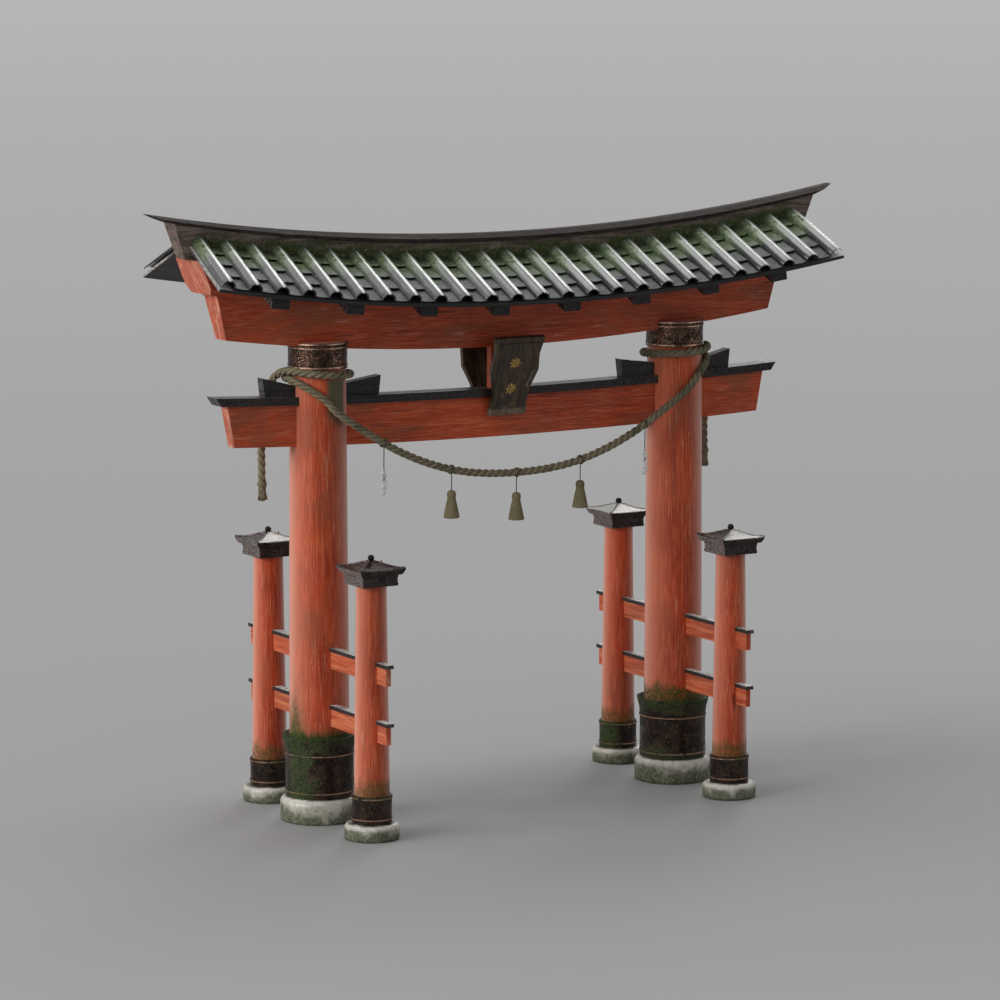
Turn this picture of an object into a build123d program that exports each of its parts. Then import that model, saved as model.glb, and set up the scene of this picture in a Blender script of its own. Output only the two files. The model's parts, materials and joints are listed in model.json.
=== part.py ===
"""A shrine gate: two main pillars with four side posts, curved lintels under a tiled
roof, a tie beam, plaques front and back, and a straw rope tied round both pillars.

Millimetres. +X runs along the lintels, -Y is the front and +Z is up. The origin is on
the ground, midway between the main pillars. The lintels, the roof and the ridge are
all bent about one axis, so a piece's outline is drawn once, across the gate at its
middle, as (across, up) points.
"""
from build123d import *
import os
from math import asin, cos, degrees, radians, sin, sqrt, tan

os.makedirs("parts", exist_ok=True)

# ---- Plan ----
pillar_spacing = 3636  # between the main pillars' axes, two ken
side_post_reach = 962  # from a main pillar's axis to its side posts' axes
fit = 0.3  # clearance in a joint

# ---- Stone bases ----
main_base_radius = 350
main_base_height = 220
main_base_round = 65
side_base_radius = 240
side_base_height = 140
side_base_round = 45

# ---- Main pillars ----
pillar_foot_radius = 265
pillar_head_radius = 246
pillar_rise = 135  # of its head past the lower lintel's underside

# ---- Side posts ----
side_post_foot_radius = 158
side_post_head_radius = 131
side_post_top = 2208

# ---- Metal sleeves at the feet ----
main_sleeve_radius = 300
main_sleeve_rim = 328
main_sleeve_top = 760
side_sleeve_radius = 172
side_sleeve_top = 385
band_proud = 6  # how far a band stands out of its sleeve
band_height = 18

# ---- Metal collars at the pillars' heads ----
collar_radius = 257.5
collar_height = 230
collar_bead = 5

# ---- Head: lintels, roof and ridge, all bent about one axis ----
head_radius = 19600  # of the lower lintel's underside
lintel_underside = 4075  # at the middle of the gate
lower_lintel_foot_width = 200
lower_lintel_top_width = 256
lower_lintel_height = 372
upper_lintel_foot_width = 362
upper_lintel_width = 486
upper_lintel_chamfer = 63
upper_lintel_height = 274
ridge_board_foot_width = 158
ridge_board_top_width = 216
ridge_board_height = 287
ridge_cap_width = 246
ridge_cap_crown_width = 90
ridge_cap_edge = 32
ridge_cap_height = 69
lower_lintel_half = 2752  # half length at the underside
lower_lintel_slant = 0.239  # how far an end leans out for each unit up
upper_lintel_half = 2937
upper_lintel_slant = 0.404
ridge_board_half = 3126
ridge_board_slant = 0.344
ridge_cap_half = 3240
ridge_cap_slant = 2.1
roof_half = 3110  # half length of the roof
roof_reach = 760  # half width over the eaves
roof_slope = 0.47
roof_board_rise = 25  # of a roof board's underside at the eave, from the upper lintel's
roof_board_thickness = 55  # straight up and down
roof_thickness = 48  # of the tiles, straight up and down
eave_block_count = 8
eave_block_pitch = 718
eave_block_width = 170
eave_block_height = 110
eave_block_depth = 150
eave_block_setback = 105

# ---- Tie beam through the pillars, with cover boards, wedges and strut ----
tie_radius = 57000  # of the tie beam's underside
tie_drop = 803  # of its underside from the lower lintel's
tie_width = 124
tie_height = 361
tie_half = 2658
tie_slant = 0.183
cover_width = 190
cover_thickness = 70
cover_half = 2795
cover_slant = 0.7
wedge_width = 100
inner_wedge_reach = 565  # from the pillar's axis, at the cover boards
inner_wedge_slope = 0.15
outer_wedge_reach = 530
outer_wedge_slope = 0.27
wedge_lean = 0.18
wedge_height = 166  # at the outer end
strut_width = 220
strut_thickness = 75

# ---- Plaques ----
plaque_foot_drop = 595  # from the lower lintel's underside
plaque_foot_reach = 84  # from the gate's middle to the back of the plaque's foot
plaque_lean = 19.5
plaque_height = 752
plaque_thickness = 52
plaque_half_widths = ((0, 186), (150, 176), (270, 186), (430, 240), (590, 222), (752, 250))
hook_radius = 9
hook_rise = 50  # from the lower lintel's underside

# ---- Side beams through a pillar and its two side posts ----
side_beam_width = 46
side_beam_half = 1268
lower_side_beam = (860, 1018)  # underside and top
upper_side_beam = (1370, 1523)
side_cover_width = 74
side_cover_thickness = 32
side_cover_half = 1295

# ---- Caps on the side posts ----
cap_box_half = 171
cap_box_height = 97
cap_eave_foot_half = 198
cap_eave_half = 216
cap_eave_height = 44
cap_middle_half = 110
cap_middle_height = 32
cap_neck_half = 22
cap_roof_height = 66
finial_radius = 29

# ---- Straw rope, tassels and paper streamers ----
rope_diameter = 68
# The left tail from its end up, from the pillar's axis.
rope_tail = [
    (-444, 196, 2825),
    (-448, 200, 2990),
    (-447, 205, 3170),
    (-449, 203, 3350),
    (-446, 208, 3510),
    (-448, 206, 3650),
    (-444, 201, 3755),
    (-424, 167, 3847),
    (-392, 103, 3917),
    (-365, 16, 3955),
]
# Turns round the left pillar's axis: angle from +X, distance from the axis, height.
rope_turns = [
    (194, 354, 3959),
    (216, 344, 3957),
    (240, 318, 3950),
    (262, 294, 3943),
    (286, 291, 3940),
    (312, 291, 3938),
    (341, 292, 3934),
    (370, 292, 3930),
    (399, 292, 3926),
    (428, 292, 3922),
    (457, 292, 3920),
    (486, 292, 3919),
    (514, 292, 3919),
    (542, 293, 3919),
    (568, 293, 3890),
    (594, 293, 3812),
    (619, 294, 3714),
]
# From the left pillar to the middle of the gate.
rope_swag = [
    (-1800, -293, 3619),
    (-1635, -294, 3509),
    (-1440, -292, 3383),
    (-1190, -293, 3238),
    (-890, -292, 3108),
    (-560, -293, 3014),
    (-200, -292, 2973),
]
cord_diameter = 10
tassel_places = (-655, 0, 655)
tassel_height = 246
tassel_tops = (2860, 2797, 2860)
tassel_radius = 72
tassel_neck_radius = 41
tassel_bore_depth = 120
tassel_bore_room = 3
streamer_places = (-1328, 1328)
streamer_top = 3108
streamer_panel = (46, 66)  # width and height of one fold
streamer_step = 20
streamer_folds = 4
streamer_thickness = 2
streamer_hold = 120  # how far its cord runs down behind it
hanging_y = -293

# ---- Worked out ----
pillar_x = pillar_spacing / 2
pillar_top = lintel_underside + pillar_rise
collar_foot = pillar_top - collar_height
tie_underside = lintel_underside - tie_drop
plaque_foot_height = lintel_underside - plaque_foot_drop
hook_height = lintel_underside + hook_rise
head_axis = Axis((0, 0, lintel_underside + head_radius), (0, -1, 0))
tie_axis = Axis((0, 0, tie_underside + tie_radius), (0, -1, 0))
upper_lintel_underside = lintel_underside + lower_lintel_height
ridge_board_underside = upper_lintel_underside + upper_lintel_height
ridge_cap_underside = ridge_board_underside + ridge_board_height
roof_board_underside = upper_lintel_underside + roof_board_rise
roof_board_top = roof_board_underside + roof_board_thickness
tie_top = tie_underside + tie_height
cover_top = tie_top + cover_thickness
pillars = (("left", -pillar_x), ("right", pillar_x))
side_posts = [
    (f"{depth}_{side}", x, y)
    for side, x in pillars
    for depth, y in (("front", -side_post_reach), ("back", side_post_reach))
]


def radius_at(height, foot, foot_radius, top, top_radius):
    """The radius, or half width, at a height of what tapers evenly from foot to top."""
    return foot_radius + (top_radius - foot_radius) * (height - foot) / (top - foot)


def pillar_radius(height):
    return radius_at(height, main_base_height, pillar_foot_radius, pillar_top, pillar_head_radius)


def side_post_radius(height):
    return radius_at(
        height, side_base_height, side_post_foot_radius, side_post_top, side_post_head_radius
    )


def outline(points, plane=Plane.YZ):
    """A face with the given corners on a plane."""
    with BuildSketch(plane) as sketch:
        with BuildLine():
            Polyline(*points, close=True)
        make_face()
    return sketch.sketch


def turned(points, x=0, y=0, mode=Mode.ADD):
    """Turns a (radius, height) outline about an upright axis at x, y."""
    profile = outline(points, Plane((x, y, 0), x_dir=(1, 0, 0), z_dir=(0, -1, 0)))
    revolve(profile, axis=Axis((x, y, 0), (0, 0, 1)), mode=mode)


def rise(x, height, axis):
    """How far a line bent about the axis has risen at x from its height at the middle."""
    radius = axis.position.Z - height
    return radius - sqrt(radius**2 - x**2)


def bent(points, axis, half_length, mode=Mode.ADD, middle=0):
    """Bends a bar with the given (across, up) outline about an axis across the gate.

    Its underside reaches half_length to each side of its middle.
    """
    radius = axis.position.Z - min(up for across, up in points)
    place = degrees(asin(middle / radius))
    swing = degrees(asin(half_length / radius))
    start = outline(points).rotate(axis, place - swing)
    revolve(start, axis=axis, revolution_arc=2 * swing, mode=mode)


def lean_ends(half_length, height, axis, slant):
    """Trims a bent bar at half_length on its underside, leaning out by slant for each unit up."""
    end_height = height + rise(half_length, height, axis)
    for side in (-1, 1):
        end = Plane((side * half_length, 0, end_height), x_dir=(0, 1, 0), z_dir=(side, 0, -slant))
        split(bisect_by=end, keep=Keep.BOTTOM)


def trapezoid(foot, foot_width, top, top_width, grow=0):
    """Four (across, up) corners, let out by grow all round."""
    low, high = foot_width / 2 + grow, top_width / 2 + grow
    return [(-low, foot - grow), (low, foot - grow), (high, top + grow), (-high, top + grow)]


def both_faces(points):
    """The same outline on the front of the gate and on its back."""
    return points, [(-across, up) for across, up in points]


def roof_line(eave_height, across):
    """The height, at a distance from the gate's middle plane, of a slope's line from the eave."""
    return eave_height + roof_slope * (roof_reach - across)


def roof_layer(low, high):
    """The outline of a layer of the front slope between two heights at the eave.

    It runs up to the ridge board's side.
    """
    foot = ridge_board_foot_width / 2 + fit
    lean = (ridge_board_top_width - ridge_board_foot_width) / 2 / ridge_board_height
    ends = []
    for eave_height in (low, high):
        crown = roof_line(eave_height, 0)
        across = (foot + lean * (crown - ridge_board_underside)) / (1 + lean * roof_slope)
        ends.append((-across, crown - roof_slope * across))
    return [(-roof_reach, low), *ends, (-roof_reach, high)]


def save(builder, node):
    """Labels a finished piece and writes it."""
    builder.part.label = node
    export_step(builder.part, f"parts/{node}.step")


def sleeve_bands(inner, radius, heights, x, y):
    """Raised bands round a sleeve."""
    for height in heights:
        low, high = height - band_height / 2, height + band_height / 2
        proud = radius + band_proud
        turned([(inner, low), (proud, low), (proud, high), (inner, high)], x, y)


# ---- Main pillars' stones, sleeves, pillars and collars ----
tie_outline = trapezoid(tie_underside, tie_width, tie_top, tie_width)
tie_mortise = trapezoid(tie_underside, tie_width, tie_top, tie_width, fit)
lower_lintel_outline = trapezoid(
    lintel_underside,
    lower_lintel_foot_width,
    upper_lintel_underside,
    lower_lintel_top_width,
)
lower_lintel_slot = trapezoid(
    lintel_underside,
    lower_lintel_foot_width,
    upper_lintel_underside,
    lower_lintel_top_width,
    fit,
)
tie_reach = tie_half + 200
lintel_reach = lower_lintel_half + 300

for side, x in pillars:
    with BuildPart() as main_base:
        with Locations((x, 0, 0)):
            Cylinder(main_base_radius, main_base_height, align=(Align.CENTER, Align.CENTER, Align.MIN))
        fillet(main_base.edges().group_by(Axis.Z)[-1], main_base_round)
    save(main_base, f"main_base_{side}")

    with BuildPart() as main_sleeve:
        bore = pillar_foot_radius + fit
        flare_foot = main_base_height + 0.7 * (main_sleeve_top - main_base_height)
        turned(
            [
                (bore, main_base_height),
                (main_sleeve_radius, main_base_height),
                (main_sleeve_radius, flare_foot),
                (main_sleeve_radius + 6, flare_foot + 75),
                (main_sleeve_rim - 8, main_sleeve_top - 40),
                (main_sleeve_rim, main_sleeve_top),
                (main_sleeve_rim - 12, main_sleeve_top + 2),
                (bore, main_sleeve_top - 22),
            ],
            x,
        )
        lower_band = main_base_height + 48
        sleeve_bands(bore, main_sleeve_radius, (lower_band, flare_foot), x, 0)
    save(main_sleeve, f"main_sleeve_{side}")

    with BuildPart() as main_pillar:
        turned(
            [
                (0, main_base_height),
                (pillar_foot_radius, main_base_height),
                (pillar_head_radius, pillar_top),
                (0, pillar_top),
            ],
            x,
        )
        bent(tie_mortise, tie_axis, tie_reach, mode=Mode.SUBTRACT)
        bent(lower_lintel_slot, head_axis, lintel_reach, mode=Mode.SUBTRACT)
        for underside, top in (lower_side_beam, upper_side_beam):
            with Locations((x, 0, (underside + top) / 2)):
                Box(
                    side_beam_width + 2 * fit,
                    2 * side_beam_half,
                    top - underside + 2 * fit,
                    mode=Mode.SUBTRACT,
                )
    save(main_pillar, f"main_pillar_{side}")

    with BuildPart() as collar:
        bore = pillar_radius(collar_foot) + fit
        proud = collar_radius + collar_bead
        turned(
            [
                (bore, collar_foot),
                (proud, collar_foot),
                (proud, collar_foot + 10),
                (collar_radius, collar_foot + 12),
                (collar_radius, collar_foot + 22),
                (proud, collar_foot + 24),
                (proud, collar_foot + 34),
                (collar_radius, collar_foot + 36),
                (collar_radius, pillar_top - 48),
                (proud, pillar_top - 46),
                (proud, pillar_top - 36),
                (collar_radius, pillar_top - 34),
                (collar_radius, pillar_top - 24),
                (proud, pillar_top - 20),
                (proud, pillar_top),
                (bore, pillar_top),
            ],
            x,
        )
        bent(lower_lintel_slot, head_axis, lintel_reach, mode=Mode.SUBTRACT)
    save(collar, f"collar_{side}")

# ---- Side posts' stones, sleeves, posts and caps ----
for place, x, y in side_posts:
    with BuildPart() as side_base:
        with Locations((x, y, 0)):
            Cylinder(side_base_radius, side_base_height, align=(Align.CENTER, Align.CENTER, Align.MIN))
        fillet(side_base.edges().group_by(Axis.Z)[-1], side_base_round)
    save(side_base, f"side_base_{place}")

    with BuildPart() as side_sleeve:
        bore = side_post_foot_radius + fit
        turned(
            [
                (bore, side_base_height),
                (side_sleeve_radius, side_base_height),
                (side_sleeve_radius, side_sleeve_top),
                (bore, side_sleeve_top),
            ],
            x,
            y,
        )
        band_heights = (side_base_height + 42, side_sleeve_top - 20)
        sleeve_bands(bore, side_sleeve_radius, band_heights, x, y)
    save(side_sleeve, f"side_sleeve_{place}")

    with BuildPart() as side_post:
        turned(
            [
                (0, side_base_height),
                (side_post_foot_radius, side_base_height),
                (side_post_head_radius, side_post_top),
                (0, side_post_top),
            ],
            x,
            y,
        )
        for underside, top in (lower_side_beam, upper_side_beam):
            with Locations((x, y, (underside + top) / 2)):
                Box(
                    side_beam_width + 2 * fit,
                    4 * side_post_foot_radius,
                    top - underside + 2 * fit,
                    mode=Mode.SUBTRACT,
                )
    save(side_post, f"side_post_{place}")

    with BuildPart() as post_cap:
        box_top = side_post_top + cap_box_height
        with Locations((x, y, side_post_top)):
            Box(
                2 * cap_box_half,
                2 * cap_box_half,
                cap_box_height,
                align=(Align.CENTER, Align.CENTER, Align.MIN),
            )
        roof_foot = box_top + cap_eave_height
        for stage in (
            ((cap_eave_foot_half, box_top), (cap_eave_half, roof_foot)),
            ((cap_eave_half, roof_foot), (cap_middle_half, roof_foot + cap_middle_height)),
            (
                (cap_middle_half, roof_foot + cap_middle_height),
                (cap_neck_half, roof_foot + cap_roof_height),
            ),
        ):
            faces = []
            for half, height in stage:
                with BuildSketch(Plane((x, y, height))) as square:
                    Rectangle(2 * half, 2 * half)
                faces.append(square.sketch)
            loft(faces)
        with Locations((x, y, roof_foot + cap_roof_height + 0.8 * finial_radius)):
            Sphere(finial_radius)
    save(post_cap, f"post_cap_{place}")

# ---- Tie beam, cover boards, wedges and strut ----
with BuildPart() as tie_beam:
    bent(tie_outline, tie_axis, tie_reach)
    lean_ends(tie_half, tie_underside, tie_axis, tie_slant)
save(tie_beam, "tie_beam")

with BuildPart() as tie_beam_covers:
    bent(
        trapezoid(tie_top, cover_width, cover_top, cover_width),
        tie_axis,
        cover_half + 200,
    )
    lean_ends(cover_half, tie_top, tie_axis, cover_slant)
    with Locations(*[(x, 0, cover_top) for side, x in pillars]):
        Cylinder(pillar_radius(tie_top) + fit, 6 * cover_thickness, mode=Mode.SUBTRACT)
save(tie_beam_covers, "tie_beam_covers")

with BuildPart() as wedges:
    for side, x in pillars:
        for way in (-1, 1):
            if way * x < 0:
                reach, slope = inner_wedge_reach, inner_wedge_slope
            else:
                reach, slope = outer_wedge_reach, outer_wedge_slope
            end_top = cover_top + rise(x + way * reach, cover_top, tie_axis) + wedge_height
            shape = [
                (x, tie_top),
                (x + way * reach, tie_top),
                (x + way * (reach + wedge_lean * wedge_height), end_top),
                (x, end_top - slope * reach),
            ]
            face = outline(shape, Plane.XZ)
            extrude(face, amount=wedge_width / 2, both=True)
    bent(
        trapezoid(tie_underside, cover_width, cover_top, cover_width, fit),
        tie_axis,
        cover_half + 200,
        mode=Mode.SUBTRACT,
    )
    with Locations(*[(x, 0, cover_top) for side, x in pillars]):
        Cylinder(pillar_radius(cover_top) + fit, 3 * wedge_height, mode=Mode.SUBTRACT)
save(wedges, "wedges")

with BuildPart() as strut:
    strut_height = lintel_underside - cover_top - 2 * fit
    with Locations((0, 0, cover_top + fit)):
        Box(
            strut_width,
            strut_thickness,
            strut_height,
            align=(Align.CENTER, Align.CENTER, Align.MIN),
        )
save(strut, "strut")

# ---- Side beams with their cover boards ----
for side, x in pillars:
    for level, (underside, top) in (("lower", lower_side_beam), ("upper", upper_side_beam)):
        with BuildPart() as side_beam:
            with Locations((x, 0, underside)):
                Box(
                    side_beam_width,
                    2 * side_beam_half,
                    top - underside,
                    align=(Align.CENTER, Align.CENTER, Align.MIN),
                )
        save(side_beam, f"{level}_side_beam_{side}")

    with BuildPart() as side_beam_covers:
        for underside, top in (lower_side_beam, upper_side_beam):
            with Locations((x, 0, top)):
                Box(
                    side_cover_width,
                    2 * side_cover_half,
                    side_cover_thickness,
                    align=(Align.CENTER, Align.CENTER, Align.MIN),
                )
            with Locations((x, 0, top)):
                Cylinder(pillar_radius(top) + fit, 3 * side_cover_thickness, mode=Mode.SUBTRACT)
            with Locations((x, -side_post_reach, top), (x, side_post_reach, top)):
                Cylinder(
                    side_post_radius(top) + fit, 3 * side_cover_thickness, mode=Mode.SUBTRACT
                )
    save(side_beam_covers, f"side_beam_covers_{side}")

# ---- Lintels and ridge ----
with BuildPart() as lower_lintel:
    bent(lower_lintel_outline, head_axis, lintel_reach)
    lean_ends(lower_lintel_half, lintel_underside, head_axis, lower_lintel_slant)
save(lower_lintel, "lower_lintel")

with BuildPart() as upper_lintel:
    foot, arris = upper_lintel_foot_width / 2, upper_lintel_width / 2
    arris_height = upper_lintel_underside + upper_lintel_chamfer
    bent(
        [
            (-foot, upper_lintel_underside),
            (foot, upper_lintel_underside),
            (arris, arris_height),
            (arris, ridge_board_underside),
            (-arris, ridge_board_underside),
            (-arris, arris_height),
        ],
        head_axis,
        upper_lintel_half + 300,
    )
    lean_ends(upper_lintel_half, upper_lintel_underside, head_axis, upper_lintel_slant)
    for room in both_faces(roof_layer(roof_board_underside - fit, roof_board_top)):
        bent(room, head_axis, roof_half, mode=Mode.SUBTRACT)
save(upper_lintel, "upper_lintel")

with BuildPart() as ridge_board:
    bent(
        trapezoid(
            ridge_board_underside,
            ridge_board_foot_width,
            ridge_cap_underside,
            ridge_board_top_width,
        ),
        head_axis,
        ridge_board_half + 300,
    )
    lean_ends(ridge_board_half, ridge_board_underside, head_axis, ridge_board_slant)
save(ridge_board, "ridge_board")

with BuildPart() as ridge_cap:
    edge, crown = ridge_cap_width / 2, ridge_cap_crown_width / 2
    edge_top = ridge_cap_underside + ridge_cap_edge
    crown_top = ridge_cap_underside + ridge_cap_height
    bent(
        [
            (-edge, ridge_cap_underside),
            (edge, ridge_cap_underside),
            (edge, edge_top),
            (crown, crown_top),
            (-crown, crown_top),
            (-edge, edge_top),
        ],
        head_axis,
        ridge_cap_half + 400,
    )
    lean_ends(ridge_cap_half, ridge_cap_underside, head_axis, ridge_cap_slant)
save(ridge_cap, "ridge_cap")

# ---- Roof: boards, the tiled slopes on them and the blocks under the eaves ----
block_face = roof_reach - eave_block_setback
block_back = block_face - eave_block_depth
block_outline = [
    (-block_face, roof_line(roof_board_underside - eave_block_height, block_face)),
    (-block_back, roof_line(roof_board_underside - eave_block_height, block_back)),
    (-block_back, roof_line(roof_board_underside, block_back)),
    (-block_face, roof_line(roof_board_underside, block_face)),
]

for depth, face in (("front", 0), ("back", 1)):
    with BuildPart() as roof_board:
        bent(
            both_faces(roof_layer(roof_board_underside, roof_board_top))[face],
            head_axis,
            roof_half,
        )
    save(roof_board, f"roof_board_{depth}")

    with BuildPart() as roof_slope_tiles:
        bent(
            both_faces(roof_layer(roof_board_top, roof_board_top + roof_thickness))[face],
            head_axis,
            roof_half,
        )
    save(roof_slope_tiles, f"roof_slope_{depth}")

    with BuildPart() as eave_blocks:
        for number in range(eave_block_count):
            bent(
                both_faces(block_outline)[face],
                head_axis,
                eave_block_width / 2,
                middle=(number - (eave_block_count - 1) / 2) * eave_block_pitch,
            )
    save(eave_blocks, f"eave_blocks_{depth}")

# ---- Plaques and their hooks ----
for depth, way in (("front", -1), ("back", 1)):
    lean = radians(plaque_lean)
    face_plane = Plane(
        (0, way * plaque_foot_reach, plaque_foot_height),
        x_dir=(-way, 0, 0),
        z_dir=(0, way * cos(lean), -sin(lean)),
    )
    with BuildPart() as plaque:
        with BuildSketch(face_plane):
            with BuildLine():
                right = [(half, height) for height, half in plaque_half_widths]
                left = [(-half, height) for half, height in right]
                Spline(*right)
                Line(right[-1], left[-1])
                Spline(*left)
                Line(left[0], right[0])
            make_face()
        extrude(amount=plaque_thickness)
    save(plaque, f"plaque_{depth}")

with BuildPart() as plaque_hooks:
    hook_foot = radius_at(
        hook_height + hook_radius,
        lintel_underside,
        lower_lintel_foot_width / 2,
        upper_lintel_underside,
        lower_lintel_top_width / 2,
    )
    hook_end = plaque_foot_reach + (hook_height - hook_radius - plaque_foot_height) * tan(
        radians(plaque_lean)
    )
    for way in (-1, 1):
        face = Plane((0, way * (hook_foot + fit), hook_height), x_dir=(1, 0, 0), z_dir=(0, way, 0))
        with BuildSketch(face):
            Circle(hook_radius)
        extrude(amount=hook_end - hook_foot - 2 * fit)
save(plaque_hooks, "plaque_hooks")

# ---- Rope ----
turns = [
    (distance * cos(radians(angle)) - pillar_x, distance * sin(radians(angle)), height)
    for angle, distance, height in rope_turns
]
tail = [(x - pillar_x, y, z) for x, y, z in rope_tail]
left_half = tail + turns + rope_swag
route = left_half + [(-x, y, z) for x, y, z in reversed(left_half)]


def corner_radii(points):
    """For each corner, the largest arc that 0.45 of its shorter run allows."""
    corners = [Vector(*p) for p in points]
    radii = []
    for before, corner, after in zip(corners, corners[1:], corners[2:]):
        turn = (corner - before).get_angle(after - corner)
        shorter = min((corner - before).length, (after - corner).length)
        radii.append(0.45 * shorter / tan(radians(turn) / 2))
    return radii


def tube(points, diameter, node):
    """A cord's tube along straight runs joined by tangent arcs, and its line."""
    radii = corner_radii(points)
    with BuildPart() as cord:
        with BuildLine() as path:
            FilletPolyline(*points, radius=radii)
        line = path.wires()[0]
        with BuildSketch(Plane(origin=line @ 0, z_dir=line % 0)):
            Circle(diameter / 2)
        sweep(path=line)
    print(node, "route", [tuple(round(v, 1) for v in p) for p in points])
    print(node, "length", round(line.length), "radii", [round(r) for r in radii])
    save(cord, node)
    return line


rope_line = tube(route, rope_diameter, "rope")


# ---- Tassels and streamers on their cords ----
def under_rope(x, height):
    """The height, up from the one given, at which a cord's flat end meets the rope at x."""
    gap = rope_diameter
    while gap > 0.02:
        rim = [Vertex(x + step, hanging_y, height) for step in (-cord_diameter / 2, cord_diameter / 2)]
        gap = min(rope_line.distance_to(point) for point in rim) - rope_diameter / 2 - fit
        height += gap
    return height


def hanging_cord(x, foot, node):
    """A thin cord from the rope's underside at x straight down to its foot."""
    top = under_rope(x + 2, foot)
    drop = top - foot
    points = [
        (x + 2, hanging_y, top),
        (x + 1, hanging_y, top - 0.35 * drop),
        (x, hanging_y + 1, top - 0.65 * drop),
        (x, hanging_y, foot),
    ]
    tube(points, cord_diameter, node)


for place, x, top in zip(("left", "middle", "right"), tassel_places, tassel_tops):
    hanging_cord(x, top - tassel_bore_depth + fit, f"tassel_cord_{place}")
for place, x in zip(("left", "right"), streamer_places):
    hanging_cord(x, streamer_top - streamer_hold, f"streamer_cord_{place}")

with BuildPart() as tassels:
    for x, top in zip(tassel_places, tassel_tops):
        bore = cord_diameter / 2 + tassel_bore_room
        foot = top - tassel_height
        turned(
            [
                (0, foot),
                (tassel_radius - 8, foot),
                (tassel_radius, foot + 14),
                (tassel_radius - 6, foot + 60),
                (tassel_radius - 20, foot + 115),
                (tassel_neck_radius, foot + 165),
                (tassel_neck_radius + 3, foot + 195),
                (tassel_neck_radius, foot + 228),
                (tassel_neck_radius - 12, top),
                (bore, top),
                (bore, top - tassel_bore_depth),
                (0, top - tassel_bore_depth),
            ],
            x,
            hanging_y,
        )
save(tassels, "tassels")

with BuildPart() as streamers:
    width, height = streamer_panel
    streamer_y = hanging_y - cord_diameter / 2 - fit - streamer_thickness / 2
    for x in streamer_places:
        for fold in range(streamer_folds):
            step = streamer_step * (fold % 2 - 0.5)
            with Locations((x + step, streamer_y, streamer_top - fold * (height - 6))):
                Box(
                    width,
                    streamer_thickness,
                    height,
                    align=(Align.CENTER, Align.CENTER, Align.MAX),
                )
save(streamers, "streamers")
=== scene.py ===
import json
import random
from math import atan, cos, pi, radians, sin, sqrt

import bpy
from mathutils import Matrix, Vector, noise

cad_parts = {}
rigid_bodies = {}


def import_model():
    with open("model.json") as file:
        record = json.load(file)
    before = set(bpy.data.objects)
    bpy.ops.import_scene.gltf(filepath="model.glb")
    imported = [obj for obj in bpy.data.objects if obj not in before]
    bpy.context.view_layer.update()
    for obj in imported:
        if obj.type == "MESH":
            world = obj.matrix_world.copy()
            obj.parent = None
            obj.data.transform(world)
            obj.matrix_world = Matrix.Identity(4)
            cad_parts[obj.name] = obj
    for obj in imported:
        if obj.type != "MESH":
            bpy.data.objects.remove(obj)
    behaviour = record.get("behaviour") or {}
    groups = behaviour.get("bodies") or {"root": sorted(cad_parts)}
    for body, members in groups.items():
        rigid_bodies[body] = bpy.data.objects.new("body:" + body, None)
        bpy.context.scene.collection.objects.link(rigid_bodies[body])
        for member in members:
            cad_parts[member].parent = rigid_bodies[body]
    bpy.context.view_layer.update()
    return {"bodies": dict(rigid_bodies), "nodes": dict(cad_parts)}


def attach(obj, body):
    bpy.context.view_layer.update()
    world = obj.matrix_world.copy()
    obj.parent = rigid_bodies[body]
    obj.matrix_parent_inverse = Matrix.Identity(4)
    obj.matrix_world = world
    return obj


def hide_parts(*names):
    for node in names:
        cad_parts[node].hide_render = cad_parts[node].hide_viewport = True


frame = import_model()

NODES = frame["nodes"]
BODY = list(frame["bodies"])[0]

SIDES = ((-1, "left"), (1, "right"))
DEPTHS = ((-1, "front"), (1, "back"))

# The head of the gate is bent about an axis along Y at this height.
HEAD_AXIS = 23.675
# the main pillars' distance from the gate's middle, and the side posts' distance from their pillar
PILLAR_X = 1.818
POST_Y = 0.962


def linked(name, data):
    """A new object, put into the scene."""
    made = bpy.data.objects.new(name, data)
    bpy.context.collection.objects.link(made)
    return made


# -------- camera
EYE = Vector((-21.347, -37.214, 8.79))
BACK = Vector((-0.49266, -0.85876, 0.14078))
RIGHT = Vector((0.8674, -0.49762, 0))
UP = Vector((0.07006, 0.12211, 0.99004))
camera = linked("camera", bpy.data.cameras.new("camera"))
camera.data.lens = 175.7
camera.data.sensor_width = 36
camera.data.clip_end = 2000
camera.matrix_world = Matrix.Translation(EYE) @ Matrix((RIGHT, UP, BACK)).transposed().to_4x4()
bpy.context.scene.camera = camera
bpy.context.scene.view_settings.view_transform = "Standard"


# -------- node helpers
def scaled(values, by):
    return tuple(by * value for value in values)


def grain(axis, share=0.07):
    """A stretch that draws noise out along one axis."""
    return tuple(share if each == axis else 1 for each in "xyz")


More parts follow.
